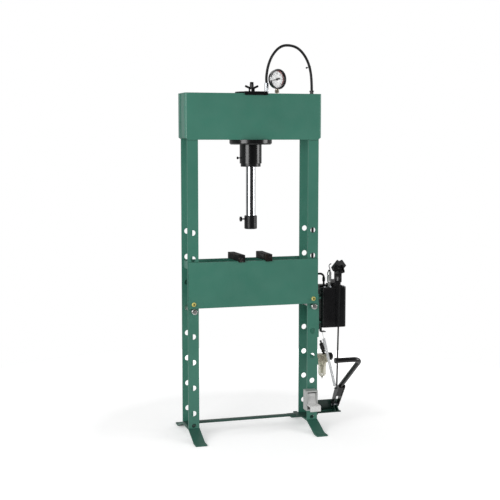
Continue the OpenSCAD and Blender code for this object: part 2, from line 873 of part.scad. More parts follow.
// Wire handle on the release valve's stem
module release_lever() {
    stem_z = cover_top + 72;
    wire = 3;
    color("#3a3a3a") translate([valve_x, valve_y, 0]) {
        translate([0, 0, stem_z]) cylinder(h = 20 + loose, d = 8);
        translate([0, 0, cover_top + 90 + loose]) cylinder(h = 6, d = 14);
        translate([5, 0, cover_top + 94]) cylinder(h = 30, d = wire);
        translate([5, 0, cover_top + 124]) sphere(d = wire + 0.6);
        translate([5, 0, cover_top + 124]) rotate([0, 50, 0]) cylinder(h = 12, d = wire);
    }
}

// Bent tube from the pump's foot plate to the elbow under the hydraulic hose
module outlet_fitting() {
    color("#141414") {
        translate([outlet_x, 0, cover_top + foot_plate]) cylinder(h = 26, d = 11);
        translate([outlet_x, 0, cover_top + 28]) cylinder(h = 22, d = 18, $fn = 6);
        translate([outlet_x, 0, cover_top + 48]) cylinder(h = elbow_z - cover_top - 48, d = 12);
        translate([outlet_x - elbow_r, 0, elbow_z]) rotate([90, 0, 0])
            rotate_extrude(angle = 90) translate([elbow_r, 0]) circle(d = 12);
        x_rod(drop_x, outlet_x - elbow_r - drop_x, 0, hose_z, 12);
        translate([drop_x, 0, hose_z]) sphere(d = 17);
        translate([drop_x, 0, hose_z]) cylinder(h = drop_end - hose_z, d = 16, $fn = 6);
    }
}

module hose_drop() color("#101010") hose(drop_route, hose_d);
module hose_loop() color("#101010") hose(loop_route, hose_d);
module air_hose() color("#161616") hose(air_route, air_d, 8);

// Clip across the top of the beam, where the hose goes down into the post
module hose_collar() {
    clip_t = 4;
    clip_z = beam_top - bar_drop;
    color("#151515") difference() {
        union() {
            block([collar_x - 13, -bar_face, clip_z], [collar_x + 13, bar_face, clip_z + clip_t]);
            translate([collar_x, 0, clip_z]) cylinder(h = collar_top - 10 - clip_z, d = 20);
            translate([collar_x, 0, collar_top - 12]) cylinder(h = 8, d = 25);
        }
        translate([collar_x, 0, clip_z - 1]) cylinder(h = 80, d = hose_d + 2 * loose);
    }
}

// ---- pedal ----

module angle_ear(x0) {
    along_x(x0, angle_t) polygon([
        [angle_y, angle_z], [angle_y, angle_z + angle_leg],
        [angle_y - 10, angle_z + angle_leg], [angle_y - angle_leg, angle_z + 12],
        [angle_y - angle_leg, angle_z]]);
}

module pedal_bracket() {
    back = angle_y - angle_t;
    color("#2c5546") difference() {
        union() {
            block([post_out, angle_y - angle_leg, angle_z], [angle_end, angle_y, angle_z + angle_t]);
            block([post_out, back, angle_z], [angle_end, angle_y, angle_z + angle_leg]);
            block([post_out, -bar_face, angle_z], [post_out + angle_t, bar_face, angle_z + angle_leg]);
            angle_ear(pump_x + ear_x);
            angle_ear(pump_x - ear_x - angle_t);
        }
        x_rod(pump_x - lever_gap / 2, lever_gap, pedal_pivot[0], pedal_pivot[1],
            pivot_d + 2 * fit);
    }
}

// Side plates, the bent tube and the treadle bar, welded together
module pedal_lever() {
    color("#19191a") difference() {
        union() {
            for (x = [pump_x - lever_w / 2, pump_x + lever_gap / 2]) along_x(x, lever_t)
                hull($fn = 32) {
                    translate(pedal_pivot) circle(13, $fn = 32);
                    translate(link_low) circle(10, $fn = 32);
                    translate([-83, 228]) circle(8, $fn = 32);
                    translate([-120, 243]) circle(9, $fn = 32);
                    translate([-11, 113]) circle(6, $fn = 32);
                }
            x_rod(pump_x - lever_gap / 2 - 1, lever_gap + 2, link_low[0], link_low[1], link_pin_d);
            x_rod(spring_pin[0] - 3, 10 + e, spring_pin[1], spring_pin[2], 6);
            along_x(pump_x - lever_gap / 2 - 1, lever_gap + 2)
                polygon([[-78, 178], [-73, 181.5], [-117, 239], [-122, 236]]);
            for (x = [pump_x - lever_gap / 2 - e, pump_x + tube_d / 2 - 1])
                translate([x, tube_start, 224]) rotate([90 - tube_tilt, 0, 0])
                    translate([0, -7, 0]) cube([(lever_gap - tube_d) / 2 + 1 + e, 14, 20]);
            translate(corner - (tube_run + tube_bend) * tube_dir)
                rotate([90 - tube_tilt, 0, 0]) cylinder(h = tube_run + 1, d = tube_d);
            translate(corner - tube_bend * tube_dir - [tube_bend, 0, 0])
                rotate([180 - tube_tilt, 0, 0])
                rotate_extrude(angle = 90) translate([tube_bend, 0]) circle(d = bend_d);
            x_rod(treadle_end, pump_x - tube_bend - treadle_end + 1, corner[1], corner[2], tube_d);
        }
        x_rod(pump_x - lever_w, 2 * lever_w, pedal_pivot[0], pedal_pivot[1],
            pivot_d + 2 * fit);
    }
}

module treadle_cap() {
    wall = 2;
    color("#0f0f10") difference() {
        x_rod(treadle_end - wall - 1, 16, corner[1], corner[2], tube_d + 2 * wall);
        x_rod(treadle_end, 16, corner[1], corner[2], tube_d + 2 * fit);
    }
}

module pivot_pins() {
    color("#9a9da0") {
        x_rod(pump_x - lever_w / 2 - 3, lever_w + 6, lever_pivot[0], lever_pivot[1], pivot_d);
        x_rod(pump_x - lever_w / 2 - 3, lever_w + 6, pedal_pivot[0], pedal_pivot[1], pivot_d);
        x_rod(guard_x - 2, valve_w + 4, treadle_y, treadle_pin_z, 8);
    }
}

module link_rod() {
    x0 = link_x - eye_t / 2;
    color("#111112") difference() {
        union() {
            x_rod(x0, eye_t, link_low[0], link_low[1], 22);
            x_rod(x0, eye_t, link_top[0], link_top[1], 28);
            translate([link_x, link_low[0], link_low[1]]) rotate([link_tilt, 0, 0])
                cylinder(h = link_len, d = link_d);
        }
        x_rod(x0 - 1, eye_t + 2, link_low[0], link_low[1], link_pin_d + 2 * fit);
        x_rod(x0 - 1, eye_t + 2, link_top[0], link_top[1], link_pin_d + 2 * link_slack);
    }
}

// Extension spring, drawn as its outer sleeve with a hook wire at each end
module return_spring() {
    run = spring_pin - spring_top;
    length = norm(run);
    hook = 40;
    color("#c9ccce") translate(spring_top) rotate([0, acos(run[2] / length), atan2(run[1], run[0])]) {
        translate([0, 0, loose]) cylinder(h = hook, d = spring_wire);
        translate([0, 0, hook]) cylinder(h = length - hook - 13, d = spring_d);
        translate([0, 0, length - 15]) cylinder(h = 11, d = spring_wire);
    }
}

module spring_bracket() {
    color("#161617") {
        block([tank_x + 2, -45, spring_top[2]], [tank_x + 6, -12, tank_z]);
        block([tank_x + 2, -45, spring_top[2]], [tank_x + 30, -12, spring_top[2] + 4]);
    }
}

// ---- air unit ----

module frl_body() {
    low = frl_z;
    color("#a79c7d") {
        block([frl_x - frl_w / 2, -frl_d / 2, low + 4], [frl_x + frl_w / 2, frl_d / 2, low + frl_h]);
        translate([frl_x + 3, 0, low]) cylinder(h = 14, d = bowl_d + 6);
        x_rod(frl_x + frl_w / 2 - e, 6, 0, low + 34, 20);
        x_rod(air_end[0], frl_x - frl_w / 2 - air_end[0] + e, air_end[1], low + 12, 12);
        translate([air_end[0], air_end[1], low + 6]) cylinder(h = air_end[2] - low - 6, d = 12);
    }
}

module frl_bowl() {
    tip = 9;
    r = bowl_d / 2;
    color("#cfc9b0") translate([frl_x + 3, 0, frl_z]) rotate_extrude() polygon([
        [0, 0], [r, 0], [r, 18 - bowl_len], [r - 5, 8 - bowl_len], [r - 12, 1 - bowl_len],
        [tip / 2, -bowl_len], [tip / 2, -bowl_len - 14], [0, -bowl_len - 14]]);
}

module frl_knob() {
    x0 = frl_x + frl_w / 2 + 6 + loose;
    color("#121213") {
        x_rod(x0, 21, 0, frl_z + 34, knob_d);
        x_rod(x0 + 21 - e, 3, 0, frl_z + 34, knob_d - 12);
    }
}

// Quick coupling for the workshop's air supply
module air_coupling() {
    tilt = -15.4;
    color("#151516") translate([frl_x + 14, 0, frl_z + frl_h]) rotate([0, tilt, 0]) {
        translate([0, 0, 3]) cylinder(h = 12, d = 14);
        translate([0, 0, 12]) cylinder(h = 52, d = 22);
        translate([0, 0, 64 - e]) cylinder(h = 18, d = 11);
    }
    color("#151516") translate([frl_x + 14, 0, frl_z + frl_h]) cylinder(h = 5, d = 18);
}

module foot_valve_body() {
    x1 = guard_x + valve_w;
    y0 = -bar_face - valve_d;
    z1 = guard_z + valve_h;
    color("#b4b7b8") difference() {
        union() {
            block([guard_x, -bar_face - 8, guard_z], [x1, -bar_face, z1]);
            for (x = [guard_x, x1 - guard_t])
                block([x, y0, guard_z + 4], [x + guard_t, -bar_face, z1 - 4]);
            block([guard_x, y0, z1 - guard_t - 2], [x1, -bar_face, z1]);
            block([guard_x, y0, guard_z], [x1, -bar_face, guard_z + guard_t]);
            block([guard_x + 20, -bar_face - 22, guard_z], [x1 - 20, -bar_face, guard_z + 30]);
        }
        x_rod(guard_x - 1, valve_w + 2, treadle_y, treadle_pin_z, 8 + 2 * fit);
    }
}

module foot_treadle() {
    inner = guard_t + 1.5;
    color("#c4c6c6") difference() {
        union() {
            along_x(guard_x + inner, valve_w - 2 * inner) polygon([
                [-108, 168], [-98, 172], [-97, 190], [-106, 212], [-112, 214], [-128, 160],
                [-136, 160], [-136, 152], [-120, 152]]);
            along_x(guard_x + 3, valve_w - 6) polygon([
                [-136 + e, 152], [-136 + e, 160], [treadle_lip, 160], [treadle_lip, 126],
                [treadle_lip + 6, 126], [treadle_lip + 6, 152]]);
        }
        x_rod(guard_x - 1, valve_w + 2, treadle_y, treadle_pin_z, 8 + 2 * fit);
    }
}

beam_front();
beam_back();
post_left_front();
post_left_back();
post_right_front();
post_right_back();
foot_left();
foot_right();
tie_bar();
side_brackets();
pedal_bracket();
reservoir();
reservoir_cover();
cover_bolts();
filler_cap();
pump_block();
pump_plunger();
pump_lever();
release_valve();
release_lever();
outlet_fitting();
hose_drop();
hose_collar();
pedal_lever();
treadle_cap();
pivot_pins();
link_rod();
return_spring();
spring_bracket();
frl_body();
frl_bowl();
frl_knob();
air_coupling();
air_hose();
foot_valve_body();
foot_treadle();
carriage_plate();
cylinder_tube();
cylinder_gland();
wing_screw();
bleed_screw();
port_block();
hose_ferrule();
gauge_case();
gauge_dial();
gauge_glass();
gauge_needle();
hose_loop();
piston();
ram_rod();
ram_head();
head_screw();
bed_front();
bed_back();
bed_spacers();
bed_screws();
press_block_left();
press_block_right();
bed_pin_left();
bed_pin_right();
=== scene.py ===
"""Looks of a hydraulic workshop press: painted frame, chromed ram, gauge, hoses and pedal pump.

Everything is in metres in the model's own frame: X to the right, -Y to the front, Z up.
"""

import json
import math
import random

import bmesh
import bpy
from mathutils import Matrix, Vector


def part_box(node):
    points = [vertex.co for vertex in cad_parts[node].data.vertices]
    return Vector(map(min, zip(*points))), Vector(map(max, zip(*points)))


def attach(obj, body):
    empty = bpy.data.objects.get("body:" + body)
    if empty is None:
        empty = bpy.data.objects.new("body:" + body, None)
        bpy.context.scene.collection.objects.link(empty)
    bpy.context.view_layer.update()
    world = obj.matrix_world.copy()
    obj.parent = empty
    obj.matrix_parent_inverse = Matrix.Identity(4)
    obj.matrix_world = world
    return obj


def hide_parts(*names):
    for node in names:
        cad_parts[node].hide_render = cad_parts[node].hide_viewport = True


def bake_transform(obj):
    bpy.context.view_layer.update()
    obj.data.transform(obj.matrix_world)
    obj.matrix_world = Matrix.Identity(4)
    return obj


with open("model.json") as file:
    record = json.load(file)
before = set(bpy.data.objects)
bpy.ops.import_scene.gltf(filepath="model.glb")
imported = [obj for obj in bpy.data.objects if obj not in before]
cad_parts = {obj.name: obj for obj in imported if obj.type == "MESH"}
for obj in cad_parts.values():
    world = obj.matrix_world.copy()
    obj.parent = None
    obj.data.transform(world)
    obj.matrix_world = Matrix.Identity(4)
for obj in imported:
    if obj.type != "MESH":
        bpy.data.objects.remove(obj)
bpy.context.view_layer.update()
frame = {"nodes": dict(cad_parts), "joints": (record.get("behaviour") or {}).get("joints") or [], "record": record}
nodes = frame["nodes"]
body_of = {
    node: body
    for body, group in frame["record"]["behaviour"]["bodies"].items()
    for node in group
}
slot_of = {s["node"]: s["material_slot"] for s in frame["record"]["subparts"]}
joint_at = {j["name"]: Vector(j["pos_m"]) for j in frame["joints"] if j.get("pos_m")}
MM = 0.001
UP, FRONT, BACK, RIGHT = (0, 0, 1), (0, -1, 0), (0, 1, 0), (1, 0, 0)


# ---- camera ----

LENS, SENSOR = 77.753, 36
CAMERA_PLACE = (-1.6913, -5.7165, 1.6438)
CAMERA_TILT, CAMERA_TURN = math.radians(84.037), math.radians(-16.475)


def shown(name, data):
    """A new object in the scene."""
    obj = bpy.data.objects.new(name, data)
    bpy.context.collection.objects.link(obj)
    return obj


def make_camera():
    data = bpy.data.cameras.new("camera")
    data.lens, data.sensor_width = LENS, SENSOR
    camera = shown("camera", data)
    camera.location = CAMERA_PLACE
    camera.rotation_euler = (CAMERA_TILT, 0, CAMERA_TURN)
    bpy.context.scene.camera = camera


make_camera()


# ---- materials ----

class Shader:
    """A Principled material built up from procedural layers in object space."""

    def __init__(self, name, color, roughness, metallic=0.0, **extra):
        self.material = bpy.data.materials.new(name)
        self.material.use_nodes = True
        self.tree = self.material.node_tree
        self.bsdf = self.tree.nodes["Principled BSDF"]
        self.bsdf.inputs["Base Color"].default_value = (*color, 1)
        self.bsdf.inputs["Roughness"].default_value = roughness
        self.bsdf.inputs["Metallic"].default_value = metallic
        for key, value in extra.items():
            self.bsdf.inputs[key.replace("_", " ")].default_value = value
        self.place = self.add("ShaderNodeTexCoord").outputs["Object"]
        self.normal = None

    def add(self, kind, **settings):
        node = self.tree.nodes.new(kind)
        for key, value in settings.items():
            setattr(node, key, value)
        return node

    def link(self, a, b):
        self.tree.links.new(a, b)

    def noise(self, scale, detail=3.0, stretch=None):
        """Noise with features 1 / scale metres across; stretch draws it out along an axis."""
        place = self.place
        if stretch:
            mapping = self.add("ShaderNodeMapping")
            mapping.inputs["Scale"].default_value = stretch
            self.link(place, mapping.inputs["Vector"])
            place = mapping.outputs["Vector"]
        noise = self.add("ShaderNodeTexNoise")
        noise.inputs["Scale"].default_value = scale
        noise.inputs["Detail"].default_value = detail
        self.link(place, noise.inputs["Vector"])
        return noise.outputs["Fac"]

    def ranged(self, value, low, high, start=0.3, stop=0.7):
        node = self.add("ShaderNodeMapRange")
        node.inputs["From Min"].default_value = start
        node.inputs["From Max"].default_value = stop
        node.inputs["To Min"].default_value = low
        node.inputs["To Max"].default_value = high
        self.link(value, node.inputs["Value"])
        return node.outputs["Result"]

    def mixed(self, factor, first, second):
        """A colour between two, each a colour or a socket."""
        node = self.add("ShaderNodeMix", data_type="RGBA")
        self.link(factor, node.inputs["Factor"])
        for socket, value in ((node.inputs["A"], first), (node.inputs["B"], second)):
            if isinstance(value, tuple):
                socket.default_value = (*value, 1)
            else:
                self.link(value, socket)
        return node.outputs["Result"]

    def color(self, socket):
        self.link(socket, self.bsdf.inputs["Base Color"])
        return self

    def roughness(self, socket):
        self.link(socket, self.bsdf.inputs["Roughness"])
        return self

    def bump(self, socket, distance, strength=1.0):
        node = self.add("ShaderNodeBump")
        node.inputs["Distance"].default_value = distance
        node.inputs["Strength"].default_value = strength
        self.link(socket, node.inputs["Height"])
        if self.normal:
            self.link(self.normal, node.inputs["Normal"])
        self.normal = node.outputs["Normal"]
        self.link(self.normal, self.bsdf.inputs["Normal"])
        return self

    def edges(self, radius, threshold=0.12):
        """A mask that is 1 along sharp edges: where the rounded normal leaves the true one."""
        bevel = self.add("ShaderNodeBevel", samples=4)
        bevel.inputs["Radius"].default_value = radius
        geometry = self.add("ShaderNodeNewGeometry")
        dot = self.add("ShaderNodeVectorMath", operation="DOT_PRODUCT")
        self.link(bevel.outputs["Normal"], dot.inputs[0])
        self.link(geometry.outputs["Normal"], dot.inputs[1])
        return self.ranged(dot.outputs["Value"], 1.0, 0.0, 1 - threshold, 1.0)


def tinted(color, factor):
    return tuple(min(1.0, c * factor) for c in color)


def paint(name, color, roughness=0.36, worn=(0.30, 0.31, 0.30), wear=0.0, peel=0.00018):
    """Sprayed enamel: faint orange peel, a drift of tone, dust specks and worn edges."""
    s = Shader(name, color, roughness, Coat_Weight=0.08, Coat_Roughness=0.2)
    drift = s.ranged(s.noise(3.5, 2), 0.0, 1.0)
    tone = s.mixed(drift, tinted(color, 0.93), tinted(color, 1.07))
    speck = s.ranged(s.noise(320, 2), 0.0, 0.22, 0.62, 0.74)
    tone = s.mixed(speck, tone, tinted(color, 1.6))
    edge = s.ranged(s.noise(60, 4), 0.0, 1.0, 0.42, 0.62)
    mask = s.add("ShaderNodeMath", operation="MULTIPLY")
    s.link(edge, mask.inputs[0])
    s.link(s.edges(0.0016), mask.inputs[1])
    amount = s.add("ShaderNodeMath", operation="MULTIPLY")
    amount.inputs[1].default_value = wear
    s.link(mask.outputs[0], amount.inputs[0])
    s.color(s.mixed(amount.outputs[0], tone, worn))
    s.roughness(s.ranged(s.noise(14, 4), roughness - 0.06, roughness + 0.09))
    return s.bump(s.noise(260, 2), peel).material


def steel(name, color, roughness, grain=None, tarnish=None, metallic=1.0, depth=0.00004):
    """Bare or plated metal, with a machined grain along an axis and an uneven sheen."""
    s = Shader(name, color, roughness, metallic)
    cloud = s.ranged(s.noise(25, 4), 0.0, 1.0)
    s.color(s.mixed(cloud, tinted(color, 0.86), tarnish or tinted(color, 1.08)))
    lines = s.noise(900, 2, grain) if grain else s.noise(420, 3)
    s.roughness(s.ranged(lines, roughness * 0.75, roughness * 1.35))
    return s.bump(lines, depth).material


def cast(name, color, roughness, depth=0.00035, metallic=0.6):
    """A sand-cast or forged skin: pitted, with darker hollows."""
    s = Shader(name, color, roughness, metallic)
    pits = s.noise(330, 5)
    s.color(s.mixed(s.ranged(pits, 0.0, 1.0, 0.35, 0.6), tinted(color, 0.88), tinted(color, 1.05)))
    s.roughness(s.ranged(s.noise(40, 3), roughness - 0.08, roughness + 0.1))
    return s.bump(pits, depth).material


def plastic(name, color, roughness, depth=0.00006, **extra):
    """Moulded plastic: a fine grit in the gloss and a slight drift of tone."""
    s = Shader(name, color, roughness, **extra)
    grit = s.noise(900, 2)
    s.color(s.mixed(s.ranged(s.noise(30, 3), 0.0, 1.0), tinted(color, 0.85), tinted(color, 1.2)))
    s.roughness(s.ranged(grit, roughness - 0.06, roughness + 0.08))
    return s.bump(grit, depth).material


def hose_rubber(name):
    """Matt black hose cover with a fine pebbled grain."""
    s = Shader(name, (0.005, 0.005, 0.005), 0.5)
    wrap = s.add("ShaderNodeTexVoronoi", feature="F1")
    wrap.inputs["Scale"].default_value = 700
    s.link(s.place, wrap.inputs["Vector"])
    cloud = s.ranged(s.noise(20, 3), 0.0, 1.0)
    s.color(s.mixed(cloud, (0.0035, 0.0035, 0.0035), (0.008, 0.008, 0.0085)))
    s.roughness(s.ranged(s.noise(80, 3), 0.45, 0.66))
    return s.bump(wrap.outputs["Distance"], 0.00025).material


def burnt_steel(name):
    """Flame-cut bar: blue-black scale with a brown bloom and grey scuffs."""
    s = Shader(name, (0.035, 0.033, 0.032), 0.55, 0.7)
    bloom = s.ranged(s.noise(28, 6), 0.0, 1.0, 0.45, 0.65)
    scuff = s.ranged(s.noise(70, 5, (1, 0.25, 1)), 0.0, 0.8, 0.56, 0.7)
    tone = s.mixed(bloom, (0.008, 0.008, 0.009), (0.03, 0.02, 0.014))
    s.color(s.mixed(scuff, tone, (0.13, 0.12, 0.11)))
    s.roughness(s.ranged(s.noise(50, 4), 0.42, 0.75))
    return s.bump(s.noise(180, 5), 0.0003).material


def clear_glass():
    """The dial's glass: thin, nearly clear and glossy."""
    s = Shader("gauge_glass", (0.45, 0.46, 0.46), 0.03, IOR=1.45, Alpha=0.045)
    s.roughness(s.ranged(s.noise(60, 3), 0.01, 0.05))
    return s.material


GREEN = (0.036, 0.153, 0.109)
make = {
    "green_paint": lambda: paint("green_enamel", GREEN, wear=0.25),
    "dark_green_paint": lambda: paint("dark_green_enamel", (0.018, 0.06, 0.045), 0.42, wear=0.3),
    "black_paint": lambda: paint(
        "black_enamel", (0.0045, 0.0045, 0.005), 0.2, (0.07, 0.07, 0.07), 0.3),
    "black_oxide": lambda: steel("black_oxide", (0.007, 0.007, 0.008), 0.28, metallic=0.15),
    "chrome": lambda: steel("hard_chrome", (0.62, 0.63, 0.65), 0.09, depth=0.000004),
    "bright_steel": lambda: steel("bright_steel", (0.7, 0.7, 0.68), 0.3, (1, 0.02, 1)),
    "zinc": lambda: steel("zinc_plate", (0.66, 0.68, 0.7), 0.28, tarnish=(0.6, 0.63, 0.68)),
    "yellow_zinc": lambda: steel(
        "yellow_zinc", (0.8, 0.68, 0.16), 0.34, tarnish=(0.74, 0.7, 0.3), metallic=0.45),
    "cast_silver": lambda: cast("silver_casting", (0.43, 0.44, 0.43), 0.42, metallic=0.3),
    "brass": lambda: cast("nickel_brass", (0.68, 0.64, 0.5), 0.24, 0.00012, 0.9),
    "raw_steel": lambda: burnt_steel("flame_cut_steel"),
    "bowl_plastic": lambda: plastic("bowl_plastic", (0.62, 0.58, 0.42), 0.12, Alpha=0.45),
    "black_plastic": lambda: plastic("black_plastic", (0.007, 0.007, 0.007), 0.33),
    "rubber": lambda: hose_rubber("hose_rubber"),
    "white_dial": lambda: plastic("dial_white", (0.97, 0.98, 0.98), 0.5, 0.00001),
    "glass": clear_glass,
    "dial_ink": lambda: plastic("dial_ink", (0.09, 0.1, 0.13), 0.5, 0.00001),
    "dial_red": lambda: plastic("dial_red", (0.55, 0.03, 0.025), 0.5, 0.00001),
    "bowl_insides": lambda: plastic("bowl_insides", (0.45, 0.44, 0.4), 0.4),
    "stem_brass": lambda: steel("stem_brass", (0.55, 0.5, 0.4), 0.28),
    # The feet: GREEN darkened as painted shade on their sloped faces, with real wear on the edges.
    "shaded_foot_green": lambda: paint("shaded_worn_green", tinted(GREEN, 0.66), 0.42, wear=0.35),
    # The pedal's tray: a near-black green as painted shade inside the tray, with real wear on the edges.
    "shaded_bracket_green": lambda: paint("shaded_tray_green", (0.013, 0.04, 0.03), 0.3, wear=0.3),
    "satin_black": lambda: plastic(
        "satin_black", (0.004, 0.004, 0.0045), 0.5, Specular_IOR_Level=0.2),
    "ground_steel": lambda: steel("ground_steel", (0.6, 0.6, 0.6), 0.42, (1, 1, 0.04)),
    "treadle_silver": lambda: cast("treadle_casting", (0.7, 0.7, 0.69), 0.32, 0.00012, 0.25),
    "case_steel": lambda: steel("case_steel", (0.78, 0.79, 0.8), 0.2),
    "turned_silver": lambda: steel("turned_silver", (0.6, 0.61, 0.6), 0.24, metallic=0.75),
    "spring_wire": lambda: steel("spring_wire", (0.72, 0.73, 0.74), 0.36, metallic=0.35),
}
# Finishes of small parts that the record counts with a larger one's slot
materials = {}


def material(finish):
    if finish not in materials:
        materials[finish] = make[finish]()
    return materials[finish]


# ---- pieces ----

def piece(name, mesh, slot, body, replaced=()):
    """A finished mesh as a piece that rides on a body and may stand for CAD nodes."""
    obj = shown(name, mesh)
    mesh.materials.clear()
    mesh.materials.append(material(slot))
    if body:
        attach(obj, body)
    if replaced:
        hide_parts(*replaced)
    return obj


def fan_normals(bm):
    """A normal per face corner, led by the largest face it blends with: flats stay flat."""
    weight = {f: f.normal * f.calc_area() for f in bm.faces}
    found = {}
    for vert in bm.verts:
        left = set(vert.link_faces)
        while left:
            fan, edge_of_fan = [], [left.pop()]
            while edge_of_fan:
                face = edge_of_fan.pop()
                fan.append(face)
                for edge in face.edges:
                    if edge.smooth and vert in edge.verts:
                        for other in edge.link_faces:
                            if other in left:
                                left.remove(other)
                                edge_of_fan.append(other)
            normal = sum((weight[f] for f in fan), Vector()).normalized()
            for face in fan:
                found[vert.index, face.index] = normal
    return [found[loop.vert.index, face.index] for face in bm.faces for loop in face.loops]


def to_mesh(bm, name, smooth_angle=35):
    bmesh.ops.recalc_face_normals(bm, faces=bm.faces)
    limit = math.radians(smooth_angle)
    for face in bm.faces:
        face.smooth = True
    for edge in bm.edges:
        edge.smooth = len(edge.link_faces) == 2 and edge.calc_face_angle(0) < limit
    bm.normal_update()
    bm.verts.index_update()
    bm.faces.index_update()
    normals = fan_normals(bm)
    mesh = bpy.data.meshes.new(name)
    bm.to_mesh(mesh)
    bm.free()
    mesh.normals_split_custom_set(normals)
    return mesh


def soften(bm, width, segments=2, angle=28):
    """Rounds every edge sharper than the angle."""
    limit = math.radians(angle)
    sharp = [e for e in bm.edges if len(e.link_faces) == 2 and e.calc_face_angle(0) > limit]
    bmesh.ops.bevel(
        bm, geom=sharp, offset=width, offset_type="OFFSET", segments=segments,
        profile=0.5, affect="EDGES", clamp_overlap=True,
    )


def cad_shape(node):
    """The CAD node's mesh with its split corners joined and its flat faces whole."""
    bm = bmesh.new()
    bm.from_mesh(nodes[node].data)
    bmesh.ops.remove_doubles(bm, verts=bm.verts, dist=0.02 * MM)
    bmesh.ops.dissolve_limit(
        bm, angle_limit=math.radians(0.5), verts=bm.verts, edges=bm.edges
    )
    return bm


def refined(node, width=1.2 * MM, segments=2, slot=None):
    """The CAD node with softened edges."""
    bm = cad_shape(node)
    soften(bm, width, segments)
    return piece(
        node + "_skin", to_mesh(bm, node + "_skin"), slot or slot_of[node], body_of[node], [node]
    )


def dress(node):
    """The CAD node itself, in its material."""
    mesh = nodes[node].data
    mesh.materials.clear()
    mesh.materials.append(material(slot_of[node]))
    return nodes[node]


# ---- shapes ----

def low(node):
    return Vector(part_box(node)[0])


def high(node):
    return Vector(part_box(node)[1])


def middle(node):
    return (low(node) + high(node)) / 2


def mm(*pairs):
    """Pairs of millimetres as pairs of metres."""
    return [(a * MM, b * MM) for a, b in pairs]


def inset(radius, *pairs, top=None):
    """Lathe steps: millimetres in from a radius, and up from zero or down from a top."""
    return [(radius - a * MM, b * MM if top is None else top - b * MM) for a, b in pairs]


def knurl(depth, count, *spans):
    """A ripple with so many ridges round, where the height is within a span."""
    return lambda h, turn: (
        depth * math.cos(count * turn) if any(a < h < b for a, b in spans) else 0)


def turned_to(axis, origin):
    """Takes +Z to the axis and the zero point to the origin."""
    turn = Vector(axis).to_track_quat("Z", "Y").to_matrix().to_4x4()
    return Matrix.Translation(Vector(origin)) @ turn


def add_rings(bm, rings, closed=True):
    """Joins rings of points into a skin, with a face over each end."""
    made = [[bm.verts.new(p) for p in ring] for ring in rings]
    for lower, upper in zip(made, made[1:]):
        for i in range(len(lower)):
            j = (i + 1) % len(lower)
            bm.faces.new((lower[i], lower[j], upper[j], upper[i]))
    if closed:
        bm.faces.new(list(reversed(made[0])))
        bm.faces.new(made[-1])
    else:
        for i in range(len(made[0])):
            j = (i + 1) % len(made[0])
            bm.faces.new((made[-1][i], made[-1][j], made[0][j], made[0][i]))


def circle(radius, height, steps, ripple=None):
    """Points round the Z axis; ripple maps a turn to extra radius."""
    ring = []
    for i in range(steps):
        turn = 2 * math.pi * i / steps
        r = radius + (ripple(turn) if ripple else 0.0)
        ring.append(Vector((r * math.cos(turn), r * math.sin(turn), height)))
    return ring


def add_turned(bm, profile, axis, origin, steps=40, ripple=None):
    """A lathe shape from [radius, height] steps; ripple(height, turn) is an extra radius."""
    place = turned_to(axis, origin)
    rings = []
    for radius, height in profile:
        wave = (lambda turn, h=height: ripple(h, turn)) if ripple else None
        rings.append([place @ p for p in circle(radius, height, steps, wave)])
    add_rings(bm, rings)


def add_band(bm, inner, outer, start, stop, axis, origin, steps=64, edge=0.4 * MM):
    """A ring with eased edges."""
    place = turned_to(axis, origin)
    section = [
        (inner, start), (outer - edge, start), (outer, start + edge), (outer, stop - edge),
        (outer - edge, stop), (inner, stop),
    ]
    add_rings(bm, [[place @ p for p in circle(r, h, steps)] for r, h in section], closed=False)


def add_box(bm, start, stop, ease=0.6 * MM, place=Matrix.Identity(4)):
    """A block between two corners, with eased edges."""
    start, stop = Vector(start), Vector(stop)
    made = bmesh.ops.create_cube(bm, size=1)["verts"]
    for v in made:
        v.co = (start + stop) / 2 + Vector([v.co[i] * (stop - start)[i] for i in range(3)])
    edges = list({e for v in made for e in v.link_edges})
    new = bmesh.ops.bevel(
        bm, geom=edges, offset=ease, offset_type="OFFSET", segments=2, profile=0.5,
        affect="EDGES",
    )["verts"]
    bmesh.ops.transform(bm, matrix=place, verts=list({*[v for v in made if v.is_valid], *new}))


def add_hex(bm, across, height, axis, origin, crown=0.8 * MM, spin=0.0):
    """A hexagon head with its corners turned off."""
    place = turned_to(axis, origin) @ Matrix.Rotation(spin, 4, "Z")
    corner = across / math.sqrt(3)

    def hexagon(h, limit):
        ring = []
        for i in range(36):
            turn = math.pi * i / 18
            flat = across / 2 / math.cos((turn + math.pi / 6) % (math.pi / 3) - math.pi / 6)
            r = min(flat, limit)
            ring.append(place @ Vector((r * math.cos(turn), r * math.sin(turn), h)))
        return ring

    add_rings(bm, [
        hexagon(0, corner), hexagon(height - crown, corner),
        hexagon(height, corner - 1.6 * crown)])


def add_bolt(bm, across, height, axis, origin, washer=1.5 * MM, spin=0.0):
    """A hexagon head on its washer."""
    up = Vector(axis).normalized()
    add_turned(
        bm, [(across * 0.62, 0), (across * 0.66, 0.3 * MM), (across * 0.66, washer - 0.3 * MM),
             (across * 0.62, washer)], axis, origin, 32)
    add_hex(bm, across, height - washer, axis, Vector(origin) + up * washer, spin=spin)
    add_turned(
        bm, [(across * 0.2, 0), (across * 0.2, 0.5 * MM), (across * 0.14, 0.5 * MM)],
        axis, Vector(origin) + up * (height - 0.1 * MM), 20)


def add_socket_screw(bm, diameter, height, axis, origin, spin=0.3):
    """A round head with a hexagon hole in it."""
    r, place = diameter / 2, turned_to(axis, origin)
    key = diameter * 0.26

    def ring(radius, h, six=False):
        points = []
        for i in range(36):
            turn = math.pi * i / 18
            size = radius
            if six:
                size = radius / math.cos((turn + spin) % (math.pi / 3) - math.pi / 6)
            points.append(place @ Vector((size * math.cos(turn), size * math.sin(turn), h)))
        return points

    add_rings(bm, [
        ring(r, 0), ring(r, height - 0.9 * MM), ring(r - 0.9 * MM, height),
        ring(key * 1.25, height), ring(key, height - 0.3 * MM, True),
        ring(key, height - 0.55 * height, True), ring(key * 0.2, height - 0.62 * height)])


